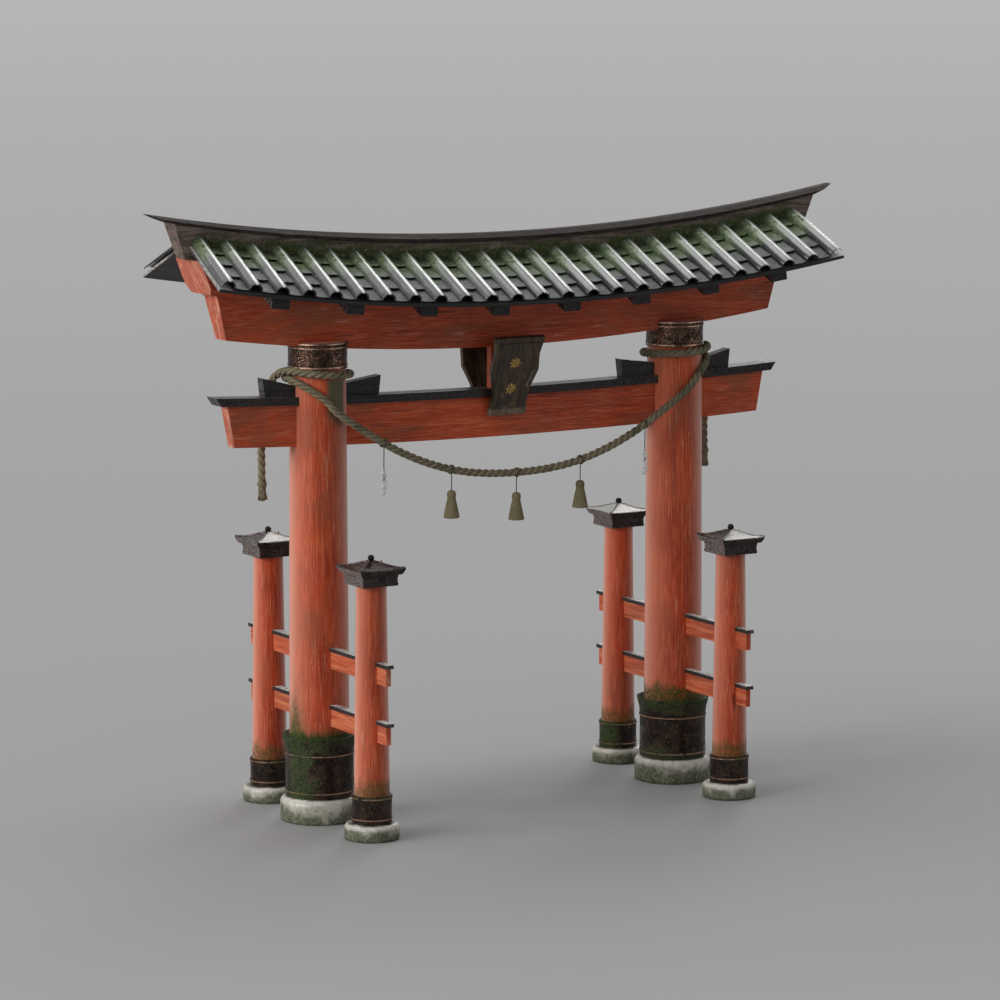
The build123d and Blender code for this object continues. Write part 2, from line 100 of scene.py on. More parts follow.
class Value:
    """What a node of a material gives, which other nodes add to, multiply or step over."""

    def __init__(self, shade, socket):
        self.shade, self.socket = shade, socket

    def __add__(self, other):
        return self.shade.math("ADD", self, other)

    def __sub__(self, other):
        return self.shade.math("SUBTRACT", self, other)

    def __rsub__(self, other):
        return self.shade.math("SUBTRACT", other, self)

    def __mul__(self, other):
        return self.shade.math("MULTIPLY", self, other)

    def __neg__(self):
        return self * -1.0

    def __abs__(self):
        return self.shade.math("ABSOLUTE", self)

    def max(self, other):
        return self.shade.math("MAXIMUM", self, other)

    def step(self, low, high, start=0.0, end=1.0):
        """A smooth step from start at low to end at high."""
        settings = {"interpolation_type": "SMOOTHSTEP"}
        return self.shade.node("ShaderNodeMapRange", (self, low, high, start, end), settings)[0]

    def blend(self, a, b):
        """A number between two, with this value as the factor."""
        return self.shade.node("ShaderNodeMix", (self, None, a, b), {"data_type": "FLOAT"})[0]

    def mix(self, a, b):
        """A colour between two, with this value as the factor."""
        return self.shade.node("ShaderNodeMix", (self, *[None] * 5, a, b), {"data_type": "RGBA"})[2]


class Shade:
    """One material and the nodes that colour it, in the object's own metres."""

    def __init__(self, name, roughness, metallic=0.0, specular=0.5):
        self.material = bpy.data.materials.new(name)
        self.material.use_nodes = True
        self.tree = self.material.node_tree
        self.shader = self.tree.nodes["Principled BSDF"]
        self.shader.inputs["Specular IOR Level"].default_value = specular
        self.set(roughness, metallic)
        self.place = self.node("ShaderNodeTexCoord")[3]
        self.x, self.y, self.z = self.split(self.place)
        self.relief = None
        self.colour = None

    def node(self, kind, values=(), settings=None):
        """A node with values put into its inputs in turn; gives its outputs."""
        made = self.tree.nodes.new(kind)
        for key, value in (settings or {}).items():
            setattr(made, key, value)
        for socket, value in zip(made.inputs, values):
            self.put(socket, value)
        return [Value(self, socket) for socket in made.outputs]

    def put(self, socket, value):
        if isinstance(value, Value):
            self.tree.links.new(value.socket, socket)
        elif value is not None:
            socket.default_value = (*value, 1) if socket.type == "RGBA" else value

    def math(self, operation, *values):
        return self.node("ShaderNodeMath", values, {"operation": operation})[0]

    def split(self, vector):
        """The three parts of a vector."""
        return self.node("ShaderNodeSeparateXYZ", (vector,))

    def normal(self):
        """The three parts of the surface normal."""
        return self.split(self.node("ShaderNodeNewGeometry")[1])

    def strand(self):
        """The place along and round a strand, as the mesh gives it."""
        return self.node("ShaderNodeUVMap", settings={"uv_map": "strand"})[0]

    def stretched(self, stretch, shift, place=None):
        values = (place or self.place, stretch, (shift, shift * 0.7, shift * 1.3))
        return self.node("ShaderNodeVectorMath", values, {"operation": "MULTIPLY_ADD"})[0]

    def noise(self, scale, detail, rough, shift=0.0, distort=0.0, stretch=None, place=None, z=1):
        vector = self.stretched(stretch or (1, 1, z), shift, place)
        values = (vector, None, scale, detail, rough, None, None, None, distort)
        return self.node("ShaderNodeTexNoise", values)[0]

    def lay(self, factor, colour):
        """Lays a colour over the colour so far."""
        self.colour = factor.mix(self.colour, colour)

    def where(self, value, low, high, colour, strength=1.0):
        """Lays a colour where a value has gone from low to high."""
        self.lay(value.step(low, high, 0, strength), colour)

    def bump(self, height, strength, distance):
        self.relief = self.node("ShaderNodeBump", (strength, distance, None, height, self.relief))[0]
        self.put(self.shader.inputs["Normal"], self.relief)

    def set(self, roughness=None, metallic=None):
        self.put(self.shader.inputs["Roughness"], roughness)
        self.put(self.shader.inputs["Metallic"], metallic)

    def done(self, roughness=None, metallic=None):
        self.put(self.shader.inputs["Base Color"], self.colour)
        self.set(roughness, metallic)
        return self.material


def moss_colour(s, shift=0.0):
    return s.noise(90, 5, 0.7, shift).step(0.35, 0.68).mix((0.012, 0.026, 0.006), (0.06, 0.105, 0.018))


# -------- where moss, damp and wear lie, and where a collar's highlight is painted
# A side of a pillar or post is an angle about its own middle, from +X towards +Y.
LEFT_EDGE = -3.02
FRONT_LEFT = -2.69
ROPE_SIDE = -1.32
# the sides of the pillars where the collars' painted highlight lies
HIGHLIGHT_LEFT, HIGHLIGHT_RIGHT = -2.55, -1.35


def halves(s):
    """Whether a point is in the right half of the gate, and whether in its back half."""
    return s.x.step(-0.1, 0.1), s.y.step(-0.1, 0.1)


def turned(s, u, v, side):
    """The angle between a point's side and a chosen side, whichever way round is less."""
    return abs(s.math("WRAP", s.math("ARCTAN2", v, u) - side, pi, -pi))


def turned_on_pillar(s, side):
    return turned(s, s.x - halves(s)[0].blend(-PILLAR_X, PILLAR_X), s.y, side)


def left_pillar_moss(s):
    """A soft green tongue on the foot's outer left, and a thin ring of moss at the sleeve."""
    ragged = s.noise(7, 5, 0.6, 3.0, z=0.3)
    off = turned(s, s.x + PILLAR_X, s.y, LEFT_EDGE)
    tongue = (s.z + (off * 0.8 + (ragged - 0.5) * 0.7)).step(1.42, 0.96)
    ring = (s.z + ragged * -0.26).step(0.74, 0.62)
    flecks = s.noise(60, 5, 0.65, 5.0, z=0.5).step(0.2, 0.62, 0.35, 1.0)
    return (tongue * 0.92).max(ring) * ring.blend(flecks, 1.0)


def foot_moss(level, seed, amount=1.0):
    """Moss all round a foot, up to a ragged level."""
    def mask(s):
        reach = s.z + s.noise(9, 5, 0.62, seed, z=0.5) * -0.28
        flecks = s.noise(60, 5, 0.65, seed + 2.0, z=0.6).step(0.26, 0.6, 0.3, 1.0)
        return reach.step(level - 0.04, level - 0.16, 0, amount) * flecks
    return mask


def main_sleeve_moss(s):
    """Moss under the rim of both main sleeves and down the left one's front left."""
    ragged = s.noise(5.5, 6, 0.66, 12.0, 0.3) - 0.5
    rim = (s.z + ragged * -0.6).step(0.58, 0.72)
    off = turned_on_pillar(s, FRONT_LEFT)
    strip = (off + ragged * 1.8).step(0.62, 0.25)
    foot = (s.z + off * 0.1 + ragged * 0.5).step(0.4, 0.3) * 0.8
    return rim.max(halves(s)[0].blend(strip, foot))


def side_sleeve_moss(s):
    """Moss down the back right sleeve's front left, and a little at the rims."""
    right, back = halves(s)
    u, v = s.x - right.blend(-PILLAR_X, PILLAR_X), s.y - back.blend(-POST_Y, POST_Y)
    ragged = s.noise(6.5, 6, 0.66, 12.0, 0.3) - 0.5
    rim = (s.z + ragged * -0.55).step(0.37, 0.43)
    return rim.max((turned(s, u, v, FRONT_LEFT) + ragged * 1.4).step(0.8, 0.45) * (right * back))


def rope_stain(s):
    """A green-black run of damp behind the rope, on the left pillar's front right."""
    off = abs(s.math("ARCTAN2", s.y, s.x + PILLAR_X) + -ROPE_SIDE)
    ragged = s.noise(8, 6, 0.66, 41.0, z=0.3)
    run = s.z.step(3.93, 3.86) * (s.z + ragged * 0.5).step(3.72, 3.92)
    return (off + ragged * 0.4).step(0.72, 0.46) * run


def collar_highlight(s):
    """Where a highlight is painted on a collar as pale copper, to the left and right of its front."""
    left = turned_on_pillar(s, HIGHLIGHT_LEFT).step(0.55, 0.2)
    return left.max(turned_on_pillar(s, HIGHLIGHT_RIGHT).step(0.38, 0.14))


# -------- kinds of material
def red_lacquer(name, axis, seed, stains=1.0, moss=None, stain=None):
    """Weathered vermilion lacquer over timber with its grain along one axis."""
    s = Shade(name, 0.42, specular=0.3)
    along = grain(axis)
    s.colour = (0.515, 0.068, 0.0155)
    s.where(s.noise(1.7, 3, 0.5, 3.1 + seed), 0.35, 0.65, (0.37, 0.043, 0.012))
    streak = s.noise(26, 7, 0.66, 1.7 + seed, 0.25, along)
    s.where(streak, 0.5, 0.72, (0.62, 0.15, 0.062), 0.6)
    s.where(streak, 0.48, 0.3, (0.2, 0.022, 0.009), 0.65)
    fine = s.noise(130, 5, 0.7, 7.7 + seed, stretch=grain(axis, 0.035))
    s.where(fine, 0.51, 0.62, (0.66, 0.2, 0.1), 0.55)
    s.where(fine, 0.46, 0.36, (0.16, 0.018, 0.008), 0.58)
    # broad patches where the red has gone dull and brown
    dull = s.noise(3.4, 5, 0.6, 31.0 + seed, 0.5, grain(axis, 0.45))
    s.where(dull, 0.48, 0.68, (0.235, 0.07, 0.034), 0.62 * stains)
    worn = s.noise(46, 8, 0.74, 12.3 + seed, 0.5, scaled(along, 0.9)).step(0.57, 0.64)
    worn = worn * s.noise(2.4, 4, 0.6, 8.2 + seed).step(0.42, 0.62)
    s.lay(worn * 0.6, (0.62, 0.34, 0.23))
    crack = s.noise(34, 5, 0.62, 21.0 + seed, 0.2, scaled(along, 0.45)).step(0.335, 0.3)
    s.lay(crack * 0.8, (0.06, 0.014, 0.009))
    # painted reflection: at a glancing angle the colour turns pale salmon, as a sheen of the bright
    # backdrop
    glance = s.node("ShaderNodeLayerWeight", (0.5,))[1]
    painted_sheen = (0.12, 0.8, 0, 0.8) if axis == "z" else (0.4, 1.0, 0, 0.35)
    s.lay(glance.step(*painted_sheen), (0.72, 0.41, 0.335))
    normal = s.normal()
    if axis == "z":
        # painted light: the side that looks to -X and +Y, towards the left lamp, is made paler
        lit_side = normal[0] * -0.867 + normal[1] * 0.498
        s.where(lit_side, -0.12, 0.95, (0.7, 0.24, 0.145), 0.45)
    if axis == "y":
        # painted light: the side that looks to -X, towards the left lamp, gets paler streaks
        side = (-normal[0]).step(0.6, 0.9)
        s.lay(side * streak.step(0.44, 0.64, 0.06, 0.55), (0.72, 0.24, 0.11))
    if axis != "z":
        # pale and dark rays on the end grain
        end = abs(normal["xy".index(axis)]).step(0.6, 0.9)
        rays = s.noise(15, 6, 0.7, 17.0 + seed, 0.6, z=0.22)
        s.lay(end * rays.step(0.46, 0.66, 0, 0.62), (0.78, 0.4, 0.26))
        s.lay(end * rays.step(0.44, 0.3, 0, 0.45), (0.4, 0.06, 0.02))
    rough = worn.blend(streak.step(0.3, 0.7).blend(0.34, 0.48), 0.7)
    if stain:
        s.lay(stain(s) * 0.92, (0.068, 0.088, 0.042))
    if moss:
        mask = moss(s)
        s.lay(mask, moss_colour(s, seed))
        rough = mask.blend(rough, 0.95)
    s.bump(streak, 0.3, 0.004)
    s.bump(fine, 0.25, 0.0015)
    s.bump(crack, -0.6, 0.004)
    return s.done(rough)


def black_lacquer(name, axis, seed, top):
    """Black lacquer, dusty on top and worn grey on its ends."""
    s = Shade(name, 0.5, specular=0.28)
    streak = s.noise(30, 6, 0.62, 2.7 + seed, 0.3, grain(axis))
    s.colour = (0.0095, 0.0085, 0.009)
    s.where(streak, 0.42, 0.75, (0.034, 0.028, 0.026))
    broad = s.noise(2.7, 4, 0.6, 5.0 + seed)
    s.where(broad, 0.5, 0.72, (0.04, 0.022, 0.016), 0.6)
    normal = s.normal()
    end = abs(normal["xy".index(axis)]).step(0.6, 0.9)
    speck = s.noise(48, 6, 0.72, 9.0 + seed, 0.4)
    s.lay(speck.step(0.46, 0.62) * end.blend(0.16, 0.85), (0.19, 0.17, 0.175))
    drift = speck.step(0.4, 0.5) * broad.step(0.36, 0.5, 0.4, 1.0)
    s.lay(normal[2].step(0.5, 0.9, 0, top) * drift, (0.6, 0.59, 0.57))
    s.bump(streak, 0.4, 0.004)
    return s.done(streak.step(0.35, 0.7).blend(0.3, 0.55))


def board_wood(name):
    """Tarred roof boards with pale, weathered end grain that is painted darker near the ridge as shade;
    a pale strip of painted light lies on each end's top; the eave faces are painted near black as shade.
    """
    s = Shade(name, 0.6, specular=0.3)
    streak = s.noise(30, 6, 0.62, 3.0, 0.3, grain("x"))
    s.colour = (0.034, 0.031, 0.031)
    s.where(streak, 0.42, 0.75, (0.08, 0.074, 0.072))
    normal = s.normal()
    # painted light: the board's top near each end, seen under the outer cover tile, is made pale as if
    # lit
    s.lay(normal[2].step(0.6, 0.85) * abs(s.x).step(2.98, 3.04), (0.45, 0.445, 0.43))
    # painted shade: faces that look along Y, the boards' eave edges, are made near black as if under the
    # tiles
    s.lay(abs(normal[1]).step(0.8, 0.95, 0, 0.75), (0.012, 0.011, 0.014))
    # painted shade: the pale end grain fades to dark towards the ridge, where the ends lie in shade
    end = abs(normal[0]).step(0.6, 0.9) * abs(s.y).step(0.24, 0.42, 0.15, 1.0)
    fibres = s.noise(60, 6, 0.7, 8.0, 0.3, (1, 0.3, 1)).step(0.35, 0.65)
    s.lay(end, fibres.mix((0.11, 0.105, 0.1), (0.38, 0.36, 0.34)))
    s.bump(streak, 0.4, 0.004)
    return s.done(0.55)


def ridge_wood(name, tone, pale):
    """Dark brown timber with pale rubbed grain, and moss that climbs from the tiles."""
    s = Shade(name, 0.75, specular=0.12)
    streak = s.noise(30, 6, 0.65, 4.0, 0.3, grain("x"))
    s.colour = scaled((0.03, 0.023, 0.02), tone)
    s.where(streak, 0.36, 0.68, scaled((0.092, 0.068, 0.058), tone))
    s.where(s.noise(14, 7, 0.75, 8.0, 0.5, (0.12, 1, 1)), 0.54, 0.68, (0.27, 0.225, 0.195), pale)
    speck = s.noise(42, 6, 0.72, 19.0, 0.4, (0.35, 1, 1))
    s.where(speck, 0.56, 0.68, (0.2, 0.165, 0.155), 0.22 + 0.38 * pale)
    s.where(speck, 0.46, 0.36, (0.012, 0.01, 0.01), 0.6)
    # the height that a point of the bent timber has at the gate's middle
    drop = HEAD_AXIS - s.z
    level = HEAD_AXIS - s.math("SQRT", s.x * s.x + drop * drop)
    moss = (level + s.noise(7, 5, 0.65, 6.0) * -0.22).step(4.915, 4.8) * abs(s.x).step(3.02, 2.92)
    moss = moss * s.noise(30, 4, 0.6, 7.0).step(0.32, 0.52, 0, 0.9)
    s.lay(moss, moss_colour(s))
    s.bump(streak, 0.5, 0.005)
    s.bump(moss, 0.5, 0.006)
    return s.done(moss.blend(streak.step(0.3, 0.7).blend(0.6, 0.85), 0.95))


def roof_tile(name, shine, tone, green, greens, moss_amount, covers=False):
    """Smoked grey clay with a sheen, lime spots, moss and film, and painted shade under the ridge.

    Covers have painted light in stripes along them: painted shade and a pale painted highlight on the
    flank towards the middle, a dark painted line, and a pale painted highlight on the far side.
    Pans are painted black under their lips as shade.
    """
    s = Shade(name, 0.35)
    cell = s.node("ShaderNodeTexVoronoi", (s.stretched((1, 1.9, 0), 0.3), None, 4))[1]
    dark, light = scaled((0.075, 0.08, 0.084), tone), scaled((0.145, 0.152, 0.158), tone)
    s.colour = s.node("ShaderNodeSeparateColor", (cell,))[0].mix(dark, light)
    blotch = s.noise(11, 6, 0.65, 2.0, 0.4)
    s.where(blotch, 0.48, 0.7, scaled(dark, 0.35), 0.65)
    fine = s.noise(120, 4, 0.7, 6.0, stretch=(1, 0.5, 1))
    s.where(fine, 0.45, 0.7, scaled(light, 1.9), 0.5)
    s.where(fine, 0.45, 0.3, scaled(dark, 0.3), 0.6)
    lime = s.noise(38, 6, 0.7, 5.0, 0.2).step(0.61, 0.7, 0, 0.6)
    s.lay(lime, (0.34, 0.345, 0.33))
    bare = 1.0
    if covers:
        turn = s.split(s.strand())[0]
        rightward = s.x.step(-1.6, 1.0)

        def stripe(starts, ends, soft, strengths):
            """A stripe between two turns; each pair is at the left end of the roof and at the right."""
            inside = (turn - rightward.blend(*starts)).step(-soft, soft)
            inside = inside * (turn - rightward.blend(*ends)).step(soft, -soft)
            return inside * rightward.blend(*strengths)

        # painted shade: a dark band low on the flank that looks to -X, strongest at the right end
        s.lay(stripe((-0.1, -0.1), (-0.02, 0.24), 0.04, (0.0, 0.88)), scaled(dark, 0.3))
        # painted light: a pale band higher on that flank, up towards the crest
        s.lay(stripe((-0.1, 0.28), (0.27, 0.445), 0.03, (0.06, 0.45)), (0.37, 0.38, 0.365))
        # painted shade: a dark line just short of the crest
        s.lay(stripe((0.27, 0.449), (0.425, 0.48), 0.008, (0.72, 0.92)), (0.012, 0.013, 0.012))
        # painted highlight: a pale band at and beyond the crest, which film and moss are kept off
        rim = stripe((0.432, 0.487), (0.53, 0.8), 0.008, (0.85, 0.85))
        s.lay(rim, (0.7, 0.71, 0.69))
        bare = 1.0 - rim * 0.75
    else:
        # painted shade: the pans' risers under their lips, which look along Y, are made black
        s.lay(abs(s.normal()[1]).step(0.74, 0.86), (0.008, 0.008, 0.009))
    climb = abs(s.y) + s.noise(4.5, 6, 0.68, 11.0, 0.3) * 0.62
    s.lay(climb.step(0.84, 0.56, 0, green) * bare, fine.step(0.4, 0.6).mix(*greens))
    moss = climb.step(0.66, 0.53) * s.noise(22, 5, 0.65, 13.0).step(0.38, 0.58) * bare
    s.lay(moss * moss_amount, moss_colour(s))
    # painted shade: close under the ridge the tiles are made dark, tinted green
    s.lay((abs(s.y) + blotch * -0.08).step(0.2, 0.07, 0, 0.78), (0.014, 0.024, 0.009))
    s.bump(blotch, 0.15, 0.006)
    s.bump(fine, 0.15, 0.001)
    s.bump(moss, 0.6, 0.008)
    return s.done(moss.blend(lime.blend(blotch.step(0.4, 0.7).blend(shine, shine + 0.12), 0.6), 0.9))


def mottled_metal(name, tones, bands, seed, shine, moss=None, highlight_at=None, metallic=0.75):
    """Old sheet copper or bronze: blotches of patina, with rubbed bands at given heights."""
    dark, mid, bright = tones
    s = Shade(name, 0.5, metallic)
    blotch = s.noise(9, 7, 0.68, 3.0 + seed, 0.8)
    s.colour = dark
    s.where(blotch, 0.4, 0.62, mid)
    rubbed = s.noise(17, 6, 0.7, 6.0 + seed, 0.5).step(0.55, 0.7) * blotch.step(0.45, 0.6)
    s.lay(rubbed * 0.6, bright)
    speck = s.noise(85, 4, 0.62, 21.0 + seed, 0.2)
    patch = s.noise(7, 4, 0.6, 26.0 + seed, 0.5, z=0.5).step(0.4, 0.62, 0.12, 0.7)
    # painted highlight: pale copper specks gather in the given highlighted places
    if highlight_at:
        patch = highlight_at(s).blend(patch * 0.35, 1.0)
    s.lay(speck.step(0.52, 0.68) * patch, bright)
    s.where(speck, 0.46, 0.36, scaled(dark, 0.5), 0.6)
    s.bump(speck, 0.25, 0.0015)
    rings = 0.0
    for low, high in bands:
        rings = s.z.step(low - 0.002, low + 0.002) * s.z.step(high + 0.002, high - 0.002) + rings
    rings = rings * s.noise(14, 5, 0.65, 9.0 + seed).step(0.3, 0.55)
    # painted highlight: the bands are pale only in the given highlighted places
    if highlight_at:
        rings = rings * highlight_at(s).blend(0.3, 1.0)
    s.lay(rings * 0.92, scaled(bright, 1.7))
    rough = blotch.step(0.35, 0.65).blend(shine + 0.28, shine)
    if moss:
        mask = moss(s) * s.noise(44, 5, 0.66, 14.0 + seed).step(0.34, 0.58)
        s.lay(mask, moss_colour(s, seed))
        rough = mask.blend(rough, 0.95)
        metallic = mask.blend(metallic, 0.0)
        s.bump(mask, 0.6, 0.008)
    s.bump(blotch, 0.3, 0.004)
    return s.done(rough, metallic)


def cap_metal(name):
    """Dark bronze caps with pale specks, painted thicker as light on faces that look up or to -X.

    A pale painted reflection lies on the slopes to the front, but for the front left cap,
    and on the back right cap's slope to -X.
    """
    s = Shade(name, 0.35, 0.4, 0.28)
    blotch = s.noise(16, 6, 0.7, 3.0, 0.6)
    s.colour = (0.012, 0.009, 0.009)
    s.where(blotch, 0.38, 0.62, (0.055, 0.04, 0.038))
    normal = s.normal()
    # painted light: pale specks are painted thicker on faces that look up or to -X, where the lamps fall
    left_face = (-normal[0]).step(0.4, 0.8)
    lit_face = normal[2].step(0.4, 0.8).max(left_face * 0.8)
    speck = s.noise(80, 5, 0.7, 9.0, 0.3)
    bare = speck.step(left_face.blend(0.52, 0.42), left_face.blend(0.66, 0.6))
    s.lay(bare * lit_face.blend(0.1, 0.95), (0.4, 0.325, 0.3))
    s.where(speck, 0.46, 0.36, (0.01, 0.009, 0.009), 0.8)
    right, back = halves(s)
    u, v = abs(s.x) - PILLAR_X, abs(s.y) - POST_Y
    # the slopes to -Y and to -X, from each cap's own middle
    front = (v * back.blend(1.0, -1.0) - abs(u)).step(0.008, 0.013)
    left = (u * right.blend(1.0, -1.0) - abs(v)).step(0.008, 0.013)
    # painted reflection: the slopes to the front, but for the front left cap, are made pale and speckled
    lime = front * right.max(back) * speck.step(0.4, 0.47, 0.15, 1.0)
    # painted reflection: the back right cap's slope to -X is made a pale green grey
    film = left * (right * back) * 0.8
    knob = s.z.step(2.4165, 2.4195)
    lime = knob.blend(lime.max(film) * s.z.step(2.3565, 2.359), 0.0)
    s.lay(knob, (0.01, 0.009, 0.009))
    s.lay(lime * 0.96, left.mix((0.66, 0.65, 0.62), (0.36, 0.38, 0.35)))
    s.bump(speck, 0.4, 0.002)
    return s.done(lime.blend(knob.blend(blotch.blend(0.2, 0.38), 0.6), 0.5), lime.blend(0.4, 0.0))


def stone(name, top, seed):
    """Pale dressed stone, glossy on top with a pale painted highlight round its upper edge,
    green with algae low down and dark under the metal.
    """
    s = Shade(name, 0.4)
    fine = s.noise(70, 4, 0.65, 1.0 + seed)
    blotch = s.noise(6.5, 6, 0.62, 4.0 + seed, 0.5)
    s.colour = (0.52, 0.5, 0.44)
    s.where(blotch, 0.38, 0.64, (0.23, 0.215, 0.165))
    s.where(fine, 0.5, 0.7, (0.16, 0.15, 0.115), 0.35)
    patch = s.noise(19, 5, 0.66, 15.0 + seed, 0.4)
    s.where(patch, 0.52, 0.66, (0.66, 0.645, 0.59), 0.55)
    s.where(patch, 0.46, 0.34, (0.17, 0.16, 0.12), 0.6)
    height = s.z * (1 / top)
    ragged = s.noise(3.6, 5, 0.6, 8.0 + seed, z=0.8)
    algae = (height + (ragged - 0.5) * -2.0).step(0.82, 0.32, 0, 0.96)
    dapple = s.noise(34, 5, 0.66, 9.0 + seed).step(0.35, 0.65)
    s.lay(algae * dapple.blend(0.75, 1.0), dapple.mix((0.088, 0.102, 0.046), (0.04, 0.06, 0.02)))
    # painted highlight: a pale band round the stone's rounded upper edge
    highlight_band = height.step(0.62, 0.88) * height.step(0.995, 0.95)
    s.lay(highlight_band * 0.45, (0.6, 0.585, 0.54))
    seam = height.step(0.93, 0.995) * blotch.step(0.35, 0.55)
    s.lay(seam * 0.8, (0.06, 0.055, 0.04))
    s.bump(blotch, 0.4, 0.008)
    s.bump(fine, 0.25, 0.002)
    return s.done(algae.blend(fine.blend(0.24, 0.42), 0.7))


def straw(name, light, dark, seed, lengthwise=3, crosswise=60):
    """Twisted rice straw: fibres along each strand's own length."""
    s = Shade(name, 0.75, specular=0.25)
    fibre = s.noise(1.0, 5, 0.65, seed, 0.2, (lengthwise, crosswise, 1), s.strand())
    s.colour = dark
    s.where(fibre, 0.32, 0.68, light)
    s.where(s.noise(5, 4, 0.6, 3.0 + seed), 0.45, 0.7, scaled(dark, 0.45), 0.55)
    s.where(s.noise(3, 3, 0.55, 8.0 + seed), 0.52, 0.72, (0.075, 0.085, 0.03), 0.35)
    s.bump(fibre, 0.7, 0.003)
    return s.done()


def paper(name):
    """White folded paper, a little soiled."""
    s = Shade(name, 0.75, specular=0.3)
    s.bump(s.noise(60, 3, 0.6, 5.0, z=0.3), 0.2, 0.001)
    s.colour = (0.8, 0.8, 0.78)
    s.where(s.noise(14, 4, 0.6), 0.45, 0.75, (0.55, 0.54, 0.5), 0.5)
    return s.done()


def plain_metal(name, colour, worn, metallic, roughness, scale):
    s = Shade(name, roughness, metallic)
    blotch = s.noise(scale, 5, 0.65)
    s.bump(blotch, 0.2, 0.002)
    s.colour = colour
    s.where(blotch, 0.4, 0.68, worn)
    return s.done(blotch.blend(roughness - 0.1, roughness + 0.15))


def plaque_wood(name, foot):
    """Dark plaque timber with brown rubbed grain; it is rubbed pale below a height."""
    s = Shade(name, 0.5, specular=0.45)
    streak = s.noise(26, 6, 0.65, 1.0, 0.4, (1, 0.2, 0.12))
    s.colour = (0.019, 0.013, 0.008)
    s.where(streak, 0.38, 0.68, (0.088, 0.056, 0.029))
    worn = (s.z + s.noise(60, 4, 0.6, 3.0, z=0.3) * -0.02).step(foot + 0.004, foot - 0.006)
    worn = worn * s.noise(26, 6, 0.72, 4.0, 0.4, z=0.3).step(0.36, 0.56, 0.25, 1.0)
    s.lay(worn * 0.75, (0.23, 0.17, 0.12))
    s.where(s.noise(30, 6, 0.7, 7.0, 0.3, z=0.4), 0.56, 0.68, (0.22, 0.135, 0.065), 0.6)
    s.bump(streak, 0.45, 0.004)
    return s.done(worn.blend(streak.blend(0.32, 0.55), 0.75))


# -------- mesh helpers
def piece(name, shape, material, nodes, smooth=True, split=None):
    """A mesh object in the row frame that rides on the gate and stands for CAD nodes."""
    mesh = bpy.data.meshes.new(name)
    mesh.from_pydata([tuple(p) for p in shape.points], [], shape.faces)
    mesh.validate()
    mesh.update()
    made = linked(name, mesh)
    mesh.polygons.foreach_set("use_smooth", [smooth] * len(mesh.polygons))
    if None not in shape.uvs:
        layer = mesh.uv_layers.new(name="strand")
        for loop in mesh.loops:
            layer.data[loop.index].uv = shape.uvs[loop.vertex_index]
    mesh.materials.append(material)
    if split:
        made.modifiers.new("edges", "EDGE_SPLIT").split_angle = radians(split)
    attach(made, BODY)
    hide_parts(*nodes)
    return made


def metres(*rows):
    """Rows of millimetres as rows of metres."""
    return [tuple(value / 1000 for value in row) for row in rows]


def circle(count):
    return [2 * pi * i / count for i in range(count)]


def around(centre, side, other, radius, turn):
    """A point a radius away from a centre, at a turn from side towards other."""
    return centre + side * (radius * cos(turn)) + other * (radius * sin(turn))


class Shape:
    """Points and faces that gather into one mesh."""

    def __init__(self):
        self.points, self.faces, self.uvs = [], [], []

    def grid(self, rows, closed=False, caps=(False, False), uv_rows=None, flip=False):
        """Joins rows of points, each as long as the next, into a skin."""
        first, width = len(self.points), len(rows[0])
        for i, row in enumerate(rows):
            self.points += row
            self.uvs += uv_rows[i] if uv_rows else [None] * width
        for i in range(len(rows) - 1):
            for j in range(width if closed else width - 1):
                a, b = first + i * width + j, first + i * width + (j + 1) % width
                quad = (a, b, b + width, a + width)
                self.faces.append(quad[::-1] if flip else quad)
        ring = list(range(first, first + width))
        if caps[0]:
            self.faces.append(ring if flip else ring[::-1])
        if caps[1]:
            last = [i + (len(rows) - 1) * width for i in ring]
            self.faces.append(last[::-1] if flip else last)

    def solid(self, rows, uv_rows=None, flip=False):
        self.grid(rows, True, (True, True), uv_rows, flip)

    def lathe(self, profile, x, y, segments, chip=lambda angle, radius, height: 0):
        """Turns (radius, height) points about an upright axis."""
        rows = []
        for radius, height in profile:
            row = []
            for angle in circle(segments):
                r = radius * (1 + chip(angle, radius, height))
                row.append((x + r * cos(angle), y + r * sin(angle), height))
            rows.append(row)
        self.solid(rows)

    def tube(self, stations, caps, flip=False):
        """A skin round a line; a station is a centre, two cross directions, radii and the place along."""
        rows, uv_rows = [], []
        for centre, side, other, radii, along in stations:
            turns = circle(len(radii))
            rows.append([tuple(around(centre, side, other, r, turn)) for r, turn in zip(radii, turns)])
            uv_rows.append([(along, j / len(radii)) for j in range(len(radii))])
        self.grid(rows, True, (caps, caps), uv_rows, flip)


def soften(made, width, angle=35):
    """Rounds a piece's sharp edges."""
    bevel = made.modifiers.new("edges", "BEVEL")
    bevel.width = width
    bevel.segments = 2
    bevel.angle_limit = radians(angle)


def paint(material, width, *names):
    """Gives CAD nodes a material and softens their edges."""
    for name in names:
        made = NODES[name]
        made.data.materials.clear()
        made.data.materials.append(material)
        if width:
            soften(made, width)


